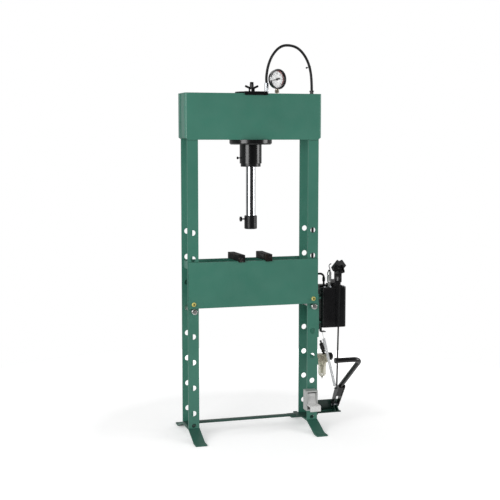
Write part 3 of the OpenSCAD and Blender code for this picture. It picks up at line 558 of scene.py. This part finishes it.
def add_tube(bm, points, radius, steps=14, ripple=None):
    """Sweeps a round section along points without twisting it."""
    points = [Vector(p) for p in points]
    side = None
    rings = []
    run = 0.0
    for i, p in enumerate(points):
        ahead = points[min(i + 1, len(points) - 1)] - points[max(i - 1, 0)]
        ahead.normalize()
        if side is None:
            side = ahead.orthogonal().normalized()
        side = (side - ahead * side.dot(ahead)).normalized()
        across = ahead.cross(side)
        if i:
            run += (p - points[i - 1]).length
        r = radius + (ripple(run) if ripple else 0.0)
        rings.append([
            p + r * (math.cos(t) * side + math.sin(t) * across)
            for t in (2 * math.pi * k / steps for k in range(steps))])
    add_rings(bm, rings)


def smooth_route(points, parts):
    """A Catmull-Rom curve through the points."""
    points = [Vector(p) for p in points]
    ends = [2 * points[0] - points[1], *points, 2 * points[-1] - points[-2]]
    route = []
    for a, b, c, d in zip(ends, ends[1:], ends[2:], ends[3:]):
        for k in range(parts):
            t = k / parts
            route.append(0.5 * (
                2 * b + (c - a) * t + (2 * a - 5 * b + 4 * c - d) * t**2
                + (3 * b - a - 3 * c + d) * t**3))
    return [*route, points[-1]]


def add_weld(bm, start, end, radius, seed):
    """A hand-laid weld bead: a low tube with its ripples."""
    start, end = Vector(start), Vector(end)
    count = max(6, int((end - start).length / (1.6 * MM)))
    rng = random.Random(seed)
    points = [start.lerp(end, i / count) for i in range(count + 1)]
    swell = [radius * 0.16 * math.sin(i * 1.9) + rng.uniform(-0.1, 0.1) * radius
             for i in range(count + 1)]
    step = (end - start).length / count
    add_tube(bm, points, radius, 8, lambda run: swell[min(count, int(run / step + 0.5))])


def built(name, add, slot, body, replaced=(), smooth_angle=38):
    """A piece whose mesh the function adds."""
    bm = bmesh.new()
    add(bm)
    return piece(name, to_mesh(bm, name, smooth_angle), slot, body, replaced)


# ---- hoses ----

def hydraulic_hose():
    """One hose from the sliding cylinder's ferrule, over the beam and down the right post."""
    diameter = 0.0144
    route = smooth_route([
        (0.094, 0, 1.9403), (0.0929, 0, 1.965), (0.0951, 0, 1.99), (0.0993, 0, 2.016),
        (0.1064, 0, 2.042), (0.1164, 0, 2.068), (0.1295, 0, 2.092), (0.1466, 0, 2.114),
        (0.1669, 0, 2.132), (0.19, 0, 2.143), (0.2139, 0, 2.146), (0.2381, 0, 2.144),
        (0.2623, 0, 2.137), (0.2841, 0, 2.124), (0.3039, 0, 2.105), (0.3199, 0, 2.083),
        (0.3331, 0, 2.058), (0.3431, 0, 2.031), (0.3499, 0, 2.002), (0.3538, 0, 1.972),
        (0.3559, 0, 1.942), (0.357, 0, 1.9053), (0.357, 0, 1.8685), (0.357, 0, 1.835),
        (0.3574, 0, 1.8), (0.3594, 0, 1.765), (0.362, 0, 1.73), (0.3646, 0, 1.695),
        (0.3663, 0, 1.66), (0.3668, 0, 1.625), (0.3668, 0, 1.39), (0.3668, 0, 0.9),
    ], 6)
    hose = built(
        "hydraulic_hose", lambda bm: add_tube(bm, route, diameter / 2, 24), "rubber", None,
        ["hose_loop", "hose_drop"])
    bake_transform(hose)


def air_line():
    """The thin line from the tank's underside to the air unit."""
    diameter = 0.006
    route = smooth_route([
        (0.411, -0.002, 0.5727), (0.408, -0.003, 0.561), (0.4, -0.007, 0.547),
        (0.391, -0.012, 0.531), (0.386, -0.015, 0.514), (0.385, -0.017, 0.497),
        (0.386, -0.017, 0.48), (0.388, -0.016, 0.463), (0.39, -0.015, 0.446),
        (0.391, -0.014, 0.43), (0.389, -0.013, 0.413), (0.386, -0.012, 0.3923),
    ], 6)
    line = built(
        "air_line", lambda bm: add_tube(bm, route, diameter / 2, 16), "rubber", "frame",
        ["air_hose"])


hydraulic_hose()
air_line()


# ---- pieces that replace CAD nodes ----

def return_spring():
    """The real coil and its two hooks, in place of the plain sleeve."""
    top = Vector((0.418, -0.028, 0.545))
    bottom = Vector((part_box("return_spring")[1][0], -0.08, 0.226))
    run = bottom - top
    length, way = run.length, run.normalized()
    place = turned_to(way, top)
    radius, wire = 7.2 * MM, 2.4 * MM
    start, stop = 40 * MM, length - 13 * MM
    turns, steps = int((stop - start) / (wire * 1.18)), 14
    coil = []
    for i in range(turns * steps + 1):
        turn = 2 * math.pi * i / steps
        h = start + (stop - start) * i / (turns * steps)
        coil.append(place @ Vector((radius * math.cos(turn), radius * math.sin(turn), h)))

    def add(bm):
        add_tube(bm, coil, wire / 2, 8)
        straight = [place @ Vector((0, 0, h)) for h in (1 * MM, start * 0.5, start * 0.9)]
        bend = place @ Vector((radius * 0.7, 0, start + 2 * MM))
        add_tube(bm, [*straight, bend, coil[2]], wire / 2, 10)
        tail = [place @ Vector((0, 0, h)) for h in (length - 4 * MM, stop + 3 * MM)]
        bend = place @ Vector((radius * 0.7, 0, stop))
        add_tube(bm, [*tail, bend, coil[-3]], wire / 2, 10)

    coil_piece = built("return_spring_coil", add, "spring_wire", None, ["return_spring"], 60)
    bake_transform(coil_piece)


def cover_screws():
    """Six hexagon bolts round the tank's cover."""
    tank_low, tank_high = low("reservoir"), high("reservoir")
    z = low("cover_bolts").z
    spots = [
        (x, y) for x in (tank_low.x + 16 * MM, tank_low.x + 52 * MM, tank_high.x - 16 * MM)
        for y in (tank_low.y + 8 * MM, tank_high.y - 8 * MM)]

    def add(bm):
        for i, (x, y) in enumerate(spots):
            add_bolt(bm, 8.5 * MM, 6.8 * MM, UP, (x, y, z), spin=0.4 * i)

    built("cover_hex_bolts", add, "zinc", "frame", ["cover_bolts"])


def clamp_screws():
    """Socket screws on washers; black discs deep in the sockets, a piece of their own, are painted shade."""
    start, stop, face = low("bed_screws"), high("bed_screws"), low("bed_front").y
    washer, head = 2.4 * MM, 6.4 * MM
    spots = [
        (start.x + 12 * MM, start.z + 12 * MM), (stop.x - 12 * MM, stop.z - 12 * MM)]

    def screws(bm):
        for x, z in spots:
            add_turned(
                bm, [*mm((11.2, 0), (11.9, 0.6), (11.9, 2)), (11.2 * MM, washer)],
                FRONT, (x, face, z), 40)
            add_socket_screw(bm, 19 * MM, head, FRONT, (x, face - washer, z))

    # Black discs at the foot of the sockets: painted shade where the sockets lie in shadow.
    def painted_shade(bm):
        for x, z in spots:
            add_turned(
                bm, mm((4.8, 0), (4.8, 0.6)), FRONT, (x, face - washer - head * 0.62, z), 24)

    built("bed_clamp_screws", screws, "yellow_zinc", "bed", ["bed_screws"])
    built("clamp_socket_shade", painted_shade, "black_oxide", "bed")


def bed_pin(side):
    """A turned pin with a centre hole and a groove near its front end."""
    node = "bed_pin_" + side
    start, stop = low(node), high(node)
    x, z, r = middle(node).x, middle(node).z, (stop.z - start.z) / 2
    length = stop.y - start.y
    profile = [
        *mm((3, 0.9), (4.2, 0)),
        *inset(r, (2.2, 0), (0.5, 1.2), (0, 2.4), (0, 9), (1.2, 10), (1.2, 12.5), (0, 13.5)),
        *inset(r, (0, 2.2), (2, 0), top=length)]
    built(
        node + "_turned",
        lambda bm: add_turned(bm, profile, BACK, (x, start.y, z), 48),
        "bright_steel", node, [node])


def knurled(node, thick, shank):
    """A thumb screw along X: its knurled wheel and its shank."""
    start, stop, centre = low(node), high(node), middle(node)
    r, reach = (stop.z - start.z) / 2, stop.x - start.x - thick

    def add(bm):
        add_turned(
            bm,
            [*inset(r, (2, 0), (0.6, 0.8), (0.2, 1.6)),
             *inset(r, (0.2, 1.6), (0.6, 0.8), (3, 0), top=thick), (shank * 1.5, thick)],
            RIGHT, (start.x + 0.02 * MM, centre.y, centre.z), 96,
            knurl(0.35 * MM, 24, (1 * MM, thick - 1 * MM)))
        add_turned(
            bm, [(shank, 0), *inset(shank, (0, 0.6), (0.6, 0), top=reach)],
            RIGHT, (start.x + thick, centre.y, centre.z), 28)

    built(node + "_turned", add, slot_of[node], body_of[node], [node])


def regulator_knob():
    """The air unit's ribbed adjusting knob."""
    start, stop, centre = low("frl_knob"), high("frl_knob"), middle("frl_knob")
    r, length = (stop.z - start.z) / 2, stop.x - start.x
    profile = [
        (r * 0.5, 0), *inset(r, (1.5, 0), (0.4, 1), (0.4, 5), (2.2, 6), (2.2, 7.5), (0.6, 8.5)),
        *inset(r, (1, 5), (3, 3), (6.6, 2.9), (7, 0.6), (8, 0), top=length)]
    built(
        "regulator_grip",
        lambda bm: add_turned(
            bm, profile, RIGHT, (start.x, centre.y, centre.z), 144,
            lambda h, turn: -0.7 * MM * (0.5 + 0.5 * math.cos(18 * turn)) ** 3
            if 8 * MM < h < length - 4 * MM else 0),
        "black_plastic", "frl_knob", ["frl_knob"])


def filter_bowl():
    """A clear bowl with its metal guard bars, the float inside and the drain at the tip."""
    start, stop, centre = low("frl_bowl"), high("frl_bowl"), middle("frl_bowl")
    r = (stop.x - start.x) / 2
    foot = Vector((centre.x, centre.y, start.z))

    def shell(bm):
        add_turned(
            bm,
            [(r * 0.4, 14.5 * MM), *inset(r, (13, 14.6), (6, 20), (1.4, 31)),
             *inset(r, (1, 1), top=stop.z - start.z)],
            UP, foot, 56)

    def inside(bm):
        add_turned(
            bm, mm((6, 34), (9, 35), (9, 60), (11, 62), (11, 78)), UP, foot, 32,
            knurl(0.4 * MM, 16, (0, math.inf)))
        add_turned(
            bm, mm((2.2, 0), (3.4, 1), (3.4, 9), (6.5, 10), (6.5, 15), (3, 16)), UP, foot, 28)

    def guard(bm):
        for i in range(6):
            turn = math.pi * (i + 0.5) / 3
            way = Vector((math.cos(turn), math.sin(turn), 0))
            points = [
                foot + way * reach + Vector((0, 0, h))
                for reach, h in inset(r, (1.4, 90), (1.4, 60), (1.4, 33), (6, 22), (12, 16.5))]
            add_tube(bm, smooth_route(points, 4), 1.3 * MM, 8)
        add_band(bm, r - 2.4 * MM, r, 84 * MM, 93.9 * MM, UP, foot)

    built("filter_bowl_shell", shell, "bowl_plastic", "frame", ["frl_bowl"])
    built("filter_insides", inside, "bowl_insides", "frame")
    built("filter_guard", guard, "brass", "frame")


def pedal_end_cap():
    """The ringed cap on the end of the pedal's tube."""
    start, stop, centre = low("treadle_cap"), high("treadle_cap"), middle("treadle_cap")
    r, length = (stop.z - start.z) / 2, stop.x - start.x
    built(
        "treadle_end_cap",
        lambda bm: add_turned(
            bm,
            [*inset(r, (4, 0), (1.4, 0.5), (0.2, 2), (0, 4), (0.6, 6), (0, 8), (0.6, 10), (0, 12)),
             *inset(r, (0.3, 0), (1.9, 0), top=length)],
            RIGHT, (start.x, centre.y, centre.z), 56),
        "black_plastic", "pedal", ["treadle_cap"])


# ---- the gauge ----

GAUGE_TURN = math.radians(22)
GAUGE_START, GAUGE_SWEEP = 225, 270
NEEDLE_REST = math.pi + math.radians(15)
DIAL_FACE = 0.6 * MM
MARKS, MARKS_RADIUS = 60, 42.4
FIGURES, FULL_SCALE = 6, 600


def gauge_place():
    """From the dial's own plane (X to the right, Y up, Z out of the front) to the model."""
    axis = Vector((math.sin(GAUGE_TURN), -math.cos(GAUGE_TURN), 0))
    right = Vector((math.cos(GAUGE_TURN), math.sin(GAUGE_TURN), 0))
    turn = Matrix((right, Vector(UP), axis)).transposed().to_4x4()
    return Matrix.Translation(joint_at["gauge_needle_turn"]) @ turn


def dial_angle(share):
    """Where a share of the full scale stands, clockwise from the lower left."""
    return math.radians(GAUGE_START - GAUGE_SWEEP * share)


def add_arc(bm, place, inner, outer, first, last, z, steps=40):
    """A thin printed arc on the dial."""
    rows = []
    for r in (inner, outer):
        rows.append([
            place @ Vector((r * math.cos(a), r * math.sin(a), z))
            for a in (first + (last - first) * i / steps for i in range(steps + 1))])
    made = [[bm.verts.new(p) for p in row] for row in rows]
    for i in range(steps):
        bm.faces.new((made[0][i], made[0][i + 1], made[1][i + 1], made[1][i]))


def gauge():
    """The case, its bezel and stem, and what is printed on the dial."""
    place = gauge_place()
    out = place.to_3x3() @ Vector(UP)
    hub = place.translation

    def shell(bm):
        add_turned(
            bm, mm((3, 0), (46, 0), (50, 1.5), (51.8, 5), (51.8, 23), (50, 23.8), (50, 12),
                   (20, 12)),
            out, hub - out * 16 * MM, 72)

    def ring(bm, *section):
        facing = turned_to(out, hub)
        add_rings(
            bm, [[facing @ p for p in circle(r, h, 96)] for r, h in mm(*section)], closed=False)

    def bezel(bm):
        ring(
            bm, (46.2, 5.5), (46.2, 10.4), (48.5, 13.6), (51, 15.6), (53.6, 15.9), (54.6, 15.4),
            (54, 10), (50.2, 5.5))

    def band(bm):
        ring(bm, (54.4, 15.3), (55.6, 14.2), (56, 12), (56, 8.4), (54, 8), (52, 8), (52, 12))

    def stem(bm):
        foot, top = low("gauge_case").z, hub.z - 50 * MM
        add_turned(bm, [(7 * MM, 0), (7 * MM, top - foot)], UP, (hub.x, 0, foot), 32)
        add_hex(bm, 21 * MM, 15 * MM, UP, (hub.x, 0, top - 24 * MM), 1.2 * MM, 0.2)
        add_turned(
            bm, mm((8, 0), (9.6, 0.6), (9.6, 4), (8, 4.6)), UP, (hub.x, 0, top - 9 * MM), 32)

    def marks(bm):
        for i in range(MARKS + 1):
            a = dial_angle(i / MARKS)
            long, wide = (7.5, 0.55) if i % 10 == 0 else (5.5, 0.4) if i % 5 == 0 else (3.2, 0.22)
            add_arc(
                bm, place, (MARKS_RADIUS - long) * MM, MARKS_RADIUS * MM,
                a - wide / 40, a + wide / 40, DIAL_FACE, 1)

    def danger(bm):
        add_arc(bm, place, 42.8 * MM, 46 * MM, dial_angle(0.5), dial_angle(1), DIAL_FACE)

    built("gauge_shell", shell, "case_steel", "carriage", ["gauge_case"])
    built("gauge_bezel", bezel, "black_plastic", "carriage", smooth_angle=50)
    built("gauge_band", band, "case_steel", "carriage", smooth_angle=50)
    built("gauge_stem", stem, "stem_brass", "carriage")
    built("dial_marks", marks, "dial_ink", "carriage")
    built("dial_red_arc", danger, "dial_red", "carriage")
    for i in range(FIGURES + 1):
        figure = str(FULL_SCALE * i // FIGURES)
        dial_number(figure, place, 30.5 * MM, dial_angle(i / FIGURES), 6.2 * MM)
    dial_number("bar", place, 19 * MM, -math.pi / 2, 5.4 * MM)


def dial_number(text, place, radius, angle, size):
    """Text printed flat on the dial, centred at a radius and an angle."""
    curve = bpy.data.curves.new("dial_" + text, "FONT")
    curve.body, curve.size = text, size
    curve.align_x, curve.align_y = "CENTER", "CENTER"
    source = shown("dial_" + text, curve)
    bpy.context.view_layer.update()
    mesh = bpy.data.meshes.new_from_object(source)
    bpy.data.objects.remove(source)
    spot = Vector((radius * math.cos(angle), radius * math.sin(angle), DIAL_FACE))
    mesh.transform(place @ Matrix.Translation(spot))
    piece("dial_number_" + text, mesh, "dial_ink", "carriage")


def needle():
    """A pointer with a weighted tail and a domed hub, lying at its rest angle."""
    place = gauge_place()
    axis, hub = place.to_3x3() @ Vector(UP), place.translation
    lie = place @ Matrix.Rotation(NEEDLE_REST, 4, "Z")
    outline = mm(
        (-20, -4.2), (-23, 0), (-20, 4.2), (-15, 5.2), (-8, 4), (8, 3), (38, 1.4), (40.5, 0),
        (38, -1.4), (8, -3), (-8, -4), (-15, -5.2))

    def add(bm):
        add_rings(
            bm, [[lie @ Vector((x, y, z)) for x, y in outline] for z in (2.2 * MM, 2.9 * MM)])
        add_turned(
            bm, mm((7, 0), (7, 1.6), (5.8, 2.6), (3, 3.3), (0.4, 3.4)),
            axis, hub + axis * 1.4 * MM, 36)
        add_turned(bm, mm((2.9, 0), (2.9, 11)), -axis, hub + axis * 1.6 * MM, 20)

    built("gauge_pointer", add, "black_plastic", "gauge_needle", ["gauge_needle"])


# ---- welds and small fixings ----

def quick_coupling():
    """The plug and its knurled sleeve on top of the filter."""
    lean = math.radians(-15.4)
    axis = (math.sin(lean), 0, math.cos(lean))
    base = Vector((0.441, 0, 0.411))

    def add(bm):
        add_turned(
            bm, mm((7, 2.6), (7, 12), (10, 12.2), (11.4, 13.4), (11.4, 20), (9.8, 21.4),
                   (9.8, 27), (12.6, 28.6), (12.6, 44), (11, 45), (11, 49), (12.6, 50),
                   (12.6, 61), (10.8, 63.6), (7, 64), (7, 68), (4.6, 69), (4.6, 72),
                   (5.5, 73), (5.5, 81), (4.7, 81.9)),
            axis, base, 60, knurl(0.35 * MM, 20, *mm((29, 44.5), (50, 62))))
        add_turned(bm, mm((9, 0), (9, 3.6), (8, 4.6)), UP, base, 40)

    built("quick_coupling", add, "black_paint", "frame", ["air_coupling"])


def release_valve_body():
    """A hexagon and the turned body on it, with its knurled collar."""
    spot, start = middle("release_valve"), low("release_valve")
    foot = (spot.x, spot.y, start.z)

    def add(bm):
        add_hex(bm, 17 * MM, 14 * MM, UP, foot, 1.2 * MM, 0.3)
        add_turned(
            bm, mm((7.6, 13), (7.6, 22), (8.4, 23), (12.2, 30), (12.4, 36), (11, 37), (11, 40),
                   (12.4, 41), (12.4, 62), (10.6, 63), (10.6, 66), (12.2, 67), (12.2, 81),
                   (7.4, 90), (4.3, 90), (4.3, 84)),
            UP, foot, 96, knurl(0.3 * MM, 32, *mm((67, 80))))

    built("release_valve_turned", add, "turned_silver", "frame", ["release_valve"])


def filter_fixings():
    """The ring that holds the bowl, the port plug and the head's screws."""
    start, bowl = low("frl_body"), middle("frl_bowl")

    def add(bm):
        add_turned(
            bm, mm((23.6, 0.2), (25.6, 1), (25.6, 9), (23.6, 10)), UP, (bowl.x, 0, start.z), 96,
            knurl(0.4 * MM, 24, (0.5 * MM, math.inf)))
        add_hex(
            bm, 19 * MM, 2.4 * MM, FRONT,
            (bowl.x - 4 * MM, start.y + 2.6 * MM, start.z + 30 * MM), 0.6 * MM)
        for dx, dz in ((-20, 14), (-20, 45), (13, 45), (13, 14)):
            add_socket_screw(
                bm, 5.6 * MM, 1.8 * MM, FRONT,
                (bowl.x + dx * MM, start.y + 1.9 * MM, start.z + dz * MM))

    built("filter_fixings", add, "stem_brass", "frame")


def treadle():
    """The air valve's pedal: a curved pad and the ribbed lip in front of it."""
    start, stop = low("foot_treadle"), high("foot_treadle")
    outline = smooth_route([
        (0, -0.112, 0.2135), (0, -0.106, 0.2115), (0, -0.0985, 0.19), (0, -0.0985, 0.172),
        (0, -0.108, 0.1672), (0, -0.12, 0.1535), (0, -0.1355, 0.1522)], 4)
    inner = smooth_route([
        (0, -0.137, 0.1598), (0, -0.1275, 0.1615), (0, -0.1185, 0.175), (0, -0.1125, 0.195),
        (0, -0.1122, 0.2128)], 4)
    lip = [
        (-0.136, 0.1525), (-0.136, 0.1597), (-0.187, 0.1597), (-0.1905, 0.156),
        (-0.1907, 0.129), (-0.188, 0.1263), (-0.1852, 0.129), (-0.1852, 0.150), (-0.183, 0.1525)]

    def add(bm):
        ring = [(p.y, p.z) for p in outline] + [(p.y, p.z) for p in inner]
        for side, shape in ((4.5 * MM, ring), (0.2 * MM, lip)):
            add_rings(bm, [
                [Vector((x, y, z)) for y, z in shape] for x in (start.x + side, stop.x - side)])
        for i in range(6):  # ribs across the top of the lip
            y = -0.143 - i * 0.0075
            add_box(
                bm, (start.x + 3 * MM, y - 1.4 * MM, 0.1594),
                (stop.x - 3 * MM, y + 1.4 * MM, 0.1599), 0.2 * MM)
        for i in range(5):  # and down its front
            z = 0.1325 + i * 0.005
            add_tube(
                bm, [(start.x + 4 * MM, -0.1902, z), (stop.x - 4 * MM, -0.1902, z)], 0.8 * MM, 8)

    built("foot_treadle_pad", add, "treadle_silver", "foot_treadle", ["foot_treadle"], 30)


def add_post_welds(bm, z, out, trim, radius, seed):
    """Beads across both posts at a height, on their front and back bars."""
    start, stop = low("post_right_front"), high("post_right_front").x
    for side in (-1, 1):
        for y in (start.y - out, -start.y + out):
            add_weld(
                bm, (side * (start.x + trim), y, z), (side * (stop - trim), y, z), radius, seed)


def frame_welds():
    """Beads where the posts stand on the feet, on the tank's brackets and on the pedal's tray."""
    def add(bm):
        bead, post_out = 3 * MM, high("post_right_front").x
        add_post_welds(
            bm, high("foot_right").z + bead * 0.4, 0.5 * MM, 3 * MM, bead * 0.8, 3)
        tank, tank_top = low("reservoir"), high("reservoir").z
        for y in (-46 * MM, 46 * MM):
            for z in (tank.z + 27 * MM, tank_top - 56 * MM):
                add_weld(
                    bm, (post_out + 10 * MM, y, z - 0.4 * MM), (tank.x - 2 * MM, y, z - 0.4 * MM),
                    1.8 * MM, 5)
        tray, tray_end = low("pedal_bracket"), high("pedal_bracket").x
        y, z = tray.y + 56 * MM, tray.z + 7 * MM
        add_weld(bm, (post_out + 8 * MM, y, z), (tray_end - 6 * MM, y, z), 2 * MM, 7)

    built("frame_welds", add, "green_paint", "frame", smooth_angle=60)


def beam_welds():
    """Where the beam plates lap the post bars, underneath."""
    z = low("beam_front").z - 0.2 * MM
    built(
        "beam_welds", lambda bm: add_post_welds(bm, z, 1.5 * MM, 2 * MM, 2.6 * MM, 9),
        "green_paint", "frame", smooth_angle=60)


def pin_clips():
    """Snap rings on both ends of the pump lever's and the pedal's pivots."""
    half = 20 * MM  # of a pivot's length

    def add(bm):
        for joint in ("pump_lever_hinge", "pedal_hinge"):
            for side in (-1, 1):
                add_band(
                    bm, 5.4 * MM, 8.2 * MM, half + 0.4 * MM, half + 1.6 * MM,
                    (side, 0, 0), joint_at[joint], 32, 0.2 * MM)

    built("pivot_snap_rings", add, "zinc", "frame")


def hose_tie():
    """A cable tie round the hose, with its head and the stub it was cut to."""
    at, way = Vector((0.3431, 0, 2.031)), Vector((0.287, 0, -0.958))  # on the hose, and along it
    turn = Matrix(((way.z, 0, way.x), (0, 1, 0), (-way.x, 0, way.z))).to_4x4()
    place = Matrix.Translation(at) @ turn

    def add(bm):
        add_band(bm, 6.8 * MM, 8.4 * MM, -2.2 * MM, 2.2 * MM, way, at, 32, 0.3 * MM)
        for start, stop, y, z, ease in ((7.4, 14, 2, 1.2, 0.3), (13, 21.5, 4.4, 4.4, 1)):
            add_box(
                bm, (start * MM, -y * MM, -z * MM), (stop * MM, y * MM, z * MM), ease * MM, place)

    tie = built("hose_tie", add, "black_plastic", None)
    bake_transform(tie)


def release_wire():
    """The release knob's bent wire handle, in place of the straight one."""
    spot, top = middle("release_valve"), high("release_lever").z
    route = smooth_route([
        (spot.x + dx * MM, spot.y, top - dz * MM)
        for dx, dz in (
            (5, 46), (4.6, 38), (2.4, 28), (-0.6, 20), (-1.4, 13), (2, 6.4), (7.6, 3.2))], 6)

    def add(bm):
        add_turned(
            bm, mm((3.9, 0), (3.9, 17), (6.6, 18), (7, 19), (7, 23), (6, 24)),
            UP, (spot.x, spot.y, low("release_lever").z), 40)
        add_tube(bm, route, 2.3 * MM, 12)
        add_turned(
            bm, mm((1.5, 0), (3, 1), (3.6, 3), (3, 5), (1.5, 6)),
            RIGHT, (spot.x + 5.4 * MM, spot.y, top - 3.6 * MM), 24)

    built("release_wire_handle", add, "satin_black", body_of["release_lever"], ["release_lever"])


return_spring()
cover_screws()
clamp_screws()
bed_pin("left")
bed_pin("right")
knurled("head_screw", 11 * MM, 4 * MM)
knurled("bleed_screw", 9 * MM, 3 * MM)
regulator_knob()
filter_bowl()
pedal_end_cap()
quick_coupling()
release_valve_body()
filter_fixings()
treadle()
gauge()
needle()
frame_welds()
beam_welds()
pin_clips()
hose_tie()
release_wire()


# ---- CAD shapes that keep their form ----

# Edge radius in millimetres
EASED = {
    "foot_left": 2.4, "foot_right": 2.4, "cylinder_tube": 1.6, "cylinder_gland": 1.4,
    "ram_head": 1.2, "port_block": 1.2, "hose_ferrule": 0.6, "carriage_plate": 1.6,
    "wing_screw": 1.2, "reservoir": 3.0, "reservoir_cover": 1.4, "filler_cap": 1.0,
    "pump_block": 1.4, "pump_lever": 1.0, "outlet_fitting": 0.6,
    "hose_collar": 0.8, "pedal_lever": 1.0, "link_rod": 0.8, "spring_bracket": 0.8,
    "frl_body": 2.4, "foot_valve_body": 1.8, "pump_plunger": 1.0,
    "pivot_pins": 0.8, "ram_rod": 0.8, "beam_front": 1.2, "beam_back": 1.2,
    "tie_bar": 1.2, "side_brackets": 1.0, "pedal_bracket": 1.0, "bed_front": 1.2,
    "bed_back": 1.2, "bed_spacers": 1.2, "press_block_left": 1.6, "press_block_right": 1.6,
    "post_left_front": 1.0, "post_left_back": 1.0, "post_right_front": 1.0,
    "post_right_back": 1.0,
}
# Finish, where it isn't the slot's own; the darker greens of the feet and the pedal's tray are painted shade
FINISHED = {
    "foot_left": "shaded_foot_green", "foot_right": "shaded_foot_green", "pedal_bracket": "shaded_bracket_green",
    "link_rod": "satin_black", "pump_plunger": "ground_steel",
}
for name, radius in EASED.items():
    refined(name, radius * MM, slot=FINISHED.get(name))
for name in nodes:
    if not nodes[name].hide_render:
        dress(name)


# ---- light, floor ----

HORIZON_LIGHT, TOP_LIGHT = 0.95, 0.3
GLOSS_FRONT, GLOSS_BACK = 0.03, 0.4
FLOOR_RADIUS, FLOOR_GLOW, RIM_GLOW = 2.4, 0.3, 0.8
# Name, place, where it aims, side in metres, power in watts
LAMPS = (
    ("key", (-4.2, -3.2, 2.2), (0, 0, 1.1), 3.0, 170),
    ("fill", (4.6, -1.6, 1.8), (0.2, 0, 1.0), 2.4, 90),
)


def white_world():
    """White behind the object; for gloss, dark behind the camera and paler toward the sides."""
    world = bpy.data.worlds.new("studio")
    bpy.context.scene.world = world
    world.cycles.sampling_method = "NONE"  # else gloss is lit as diffuse is
    world.use_nodes = True
    tree = world.node_tree
    back = tree.nodes["Background"]
    back.inputs["Color"].default_value = (1, 1, 1, 1)
    path = tree.nodes.new("ShaderNodeLightPath")
    where = tree.nodes.new("ShaderNodeTexCoord")

    def along(way, start, stop, first, last):
        """A strength that runs from first to last as rays turn away from a direction."""
        dot = tree.nodes.new("ShaderNodeVectorMath")
        dot.operation = "DOT_PRODUCT"
        dot.inputs[1].default_value = way
        tree.links.new(where.outputs["Generated"], dot.inputs[0])
        ramp = tree.nodes.new("ShaderNodeMapRange")
        for name, value in (
                ("From Min", start), ("From Max", stop), ("To Min", first), ("To Max", last)):
            ramp.inputs[name].default_value = value
        tree.links.new(dot.outputs["Value"], ramp.inputs["Value"])
        return ramp.outputs["Result"]

    def pick(factor, first, second):
        node = tree.nodes.new("ShaderNodeMix")
        tree.links.new(factor, node.inputs["Factor"])
        for socket, value in ((node.inputs["A"], first), (node.inputs["B"], second)):
            if isinstance(value, float):
                socket.default_value = value
            else:
                tree.links.new(value, socket)
        return node.outputs["Result"]

    light = along(UP, 0.0, 1.0, HORIZON_LIGHT, TOP_LIGHT)
    gloss = along((-0.28, -0.96, 0), 0.95, -0.6, GLOSS_FRONT, GLOSS_BACK)
    level = pick(path.outputs["Is Glossy Ray"], light, gloss)
    level = pick(path.outputs["Is Transmission Ray"], level, 1.0)
    level = pick(path.outputs["Is Camera Ray"], level, 1.0)
    tree.links.new(level, back.inputs["Strength"])


def white_floor():
    """A paper disc whose glow rises toward its rim, where it meets the white world."""
    bm = bmesh.new()
    bmesh.ops.create_circle(bm, cap_ends=True, segments=96, radius=FLOOR_RADIUS)
    mesh = bpy.data.meshes.new("floor")
    bm.to_mesh(mesh)
    bm.free()
    floor = shown("floor", mesh)
    paper = Shader("paper", (0.9, 0.9, 0.9), 0.9, Specular_IOR_Level=0.0)
    paper.bsdf.inputs["Emission Color"].default_value = (1, 1, 1, 1)
    reach = paper.add("ShaderNodeVectorMath", operation="LENGTH")
    paper.link(paper.place, reach.inputs[0])
    glow = paper.ranged(
        reach.outputs["Value"], FLOOR_GLOW, RIM_GLOW, 0.35 * FLOOR_RADIUS, 0.8 * FLOOR_RADIUS)
    path = paper.add("ShaderNodeLightPath")
    lift = paper.add("ShaderNodeMath", operation="MULTIPLY")
    paper.link(path.outputs["Is Camera Ray"], lift.inputs[0])
    paper.link(glow, lift.inputs[1])
    paper.link(lift.outputs[0], paper.bsdf.inputs["Emission Strength"])
    mesh.materials.append(paper.material)


def area_light(name, place, aim, size, power):
    """A square lamp turned toward a point."""
    data = bpy.data.lights.new(name, "AREA")
    data.shape, data.size, data.energy = "SQUARE", size, power
    lamp = shown(name, data)
    lamp.location = place
    lamp.rotation_euler = (Vector(aim) - Vector(place)).to_track_quat("-Z", "Y").to_euler()


bpy.context.scene.view_settings.view_transform = "Standard"
white_world()
white_floor()
for lamp in LAMPS:
    area_light(*lamp)
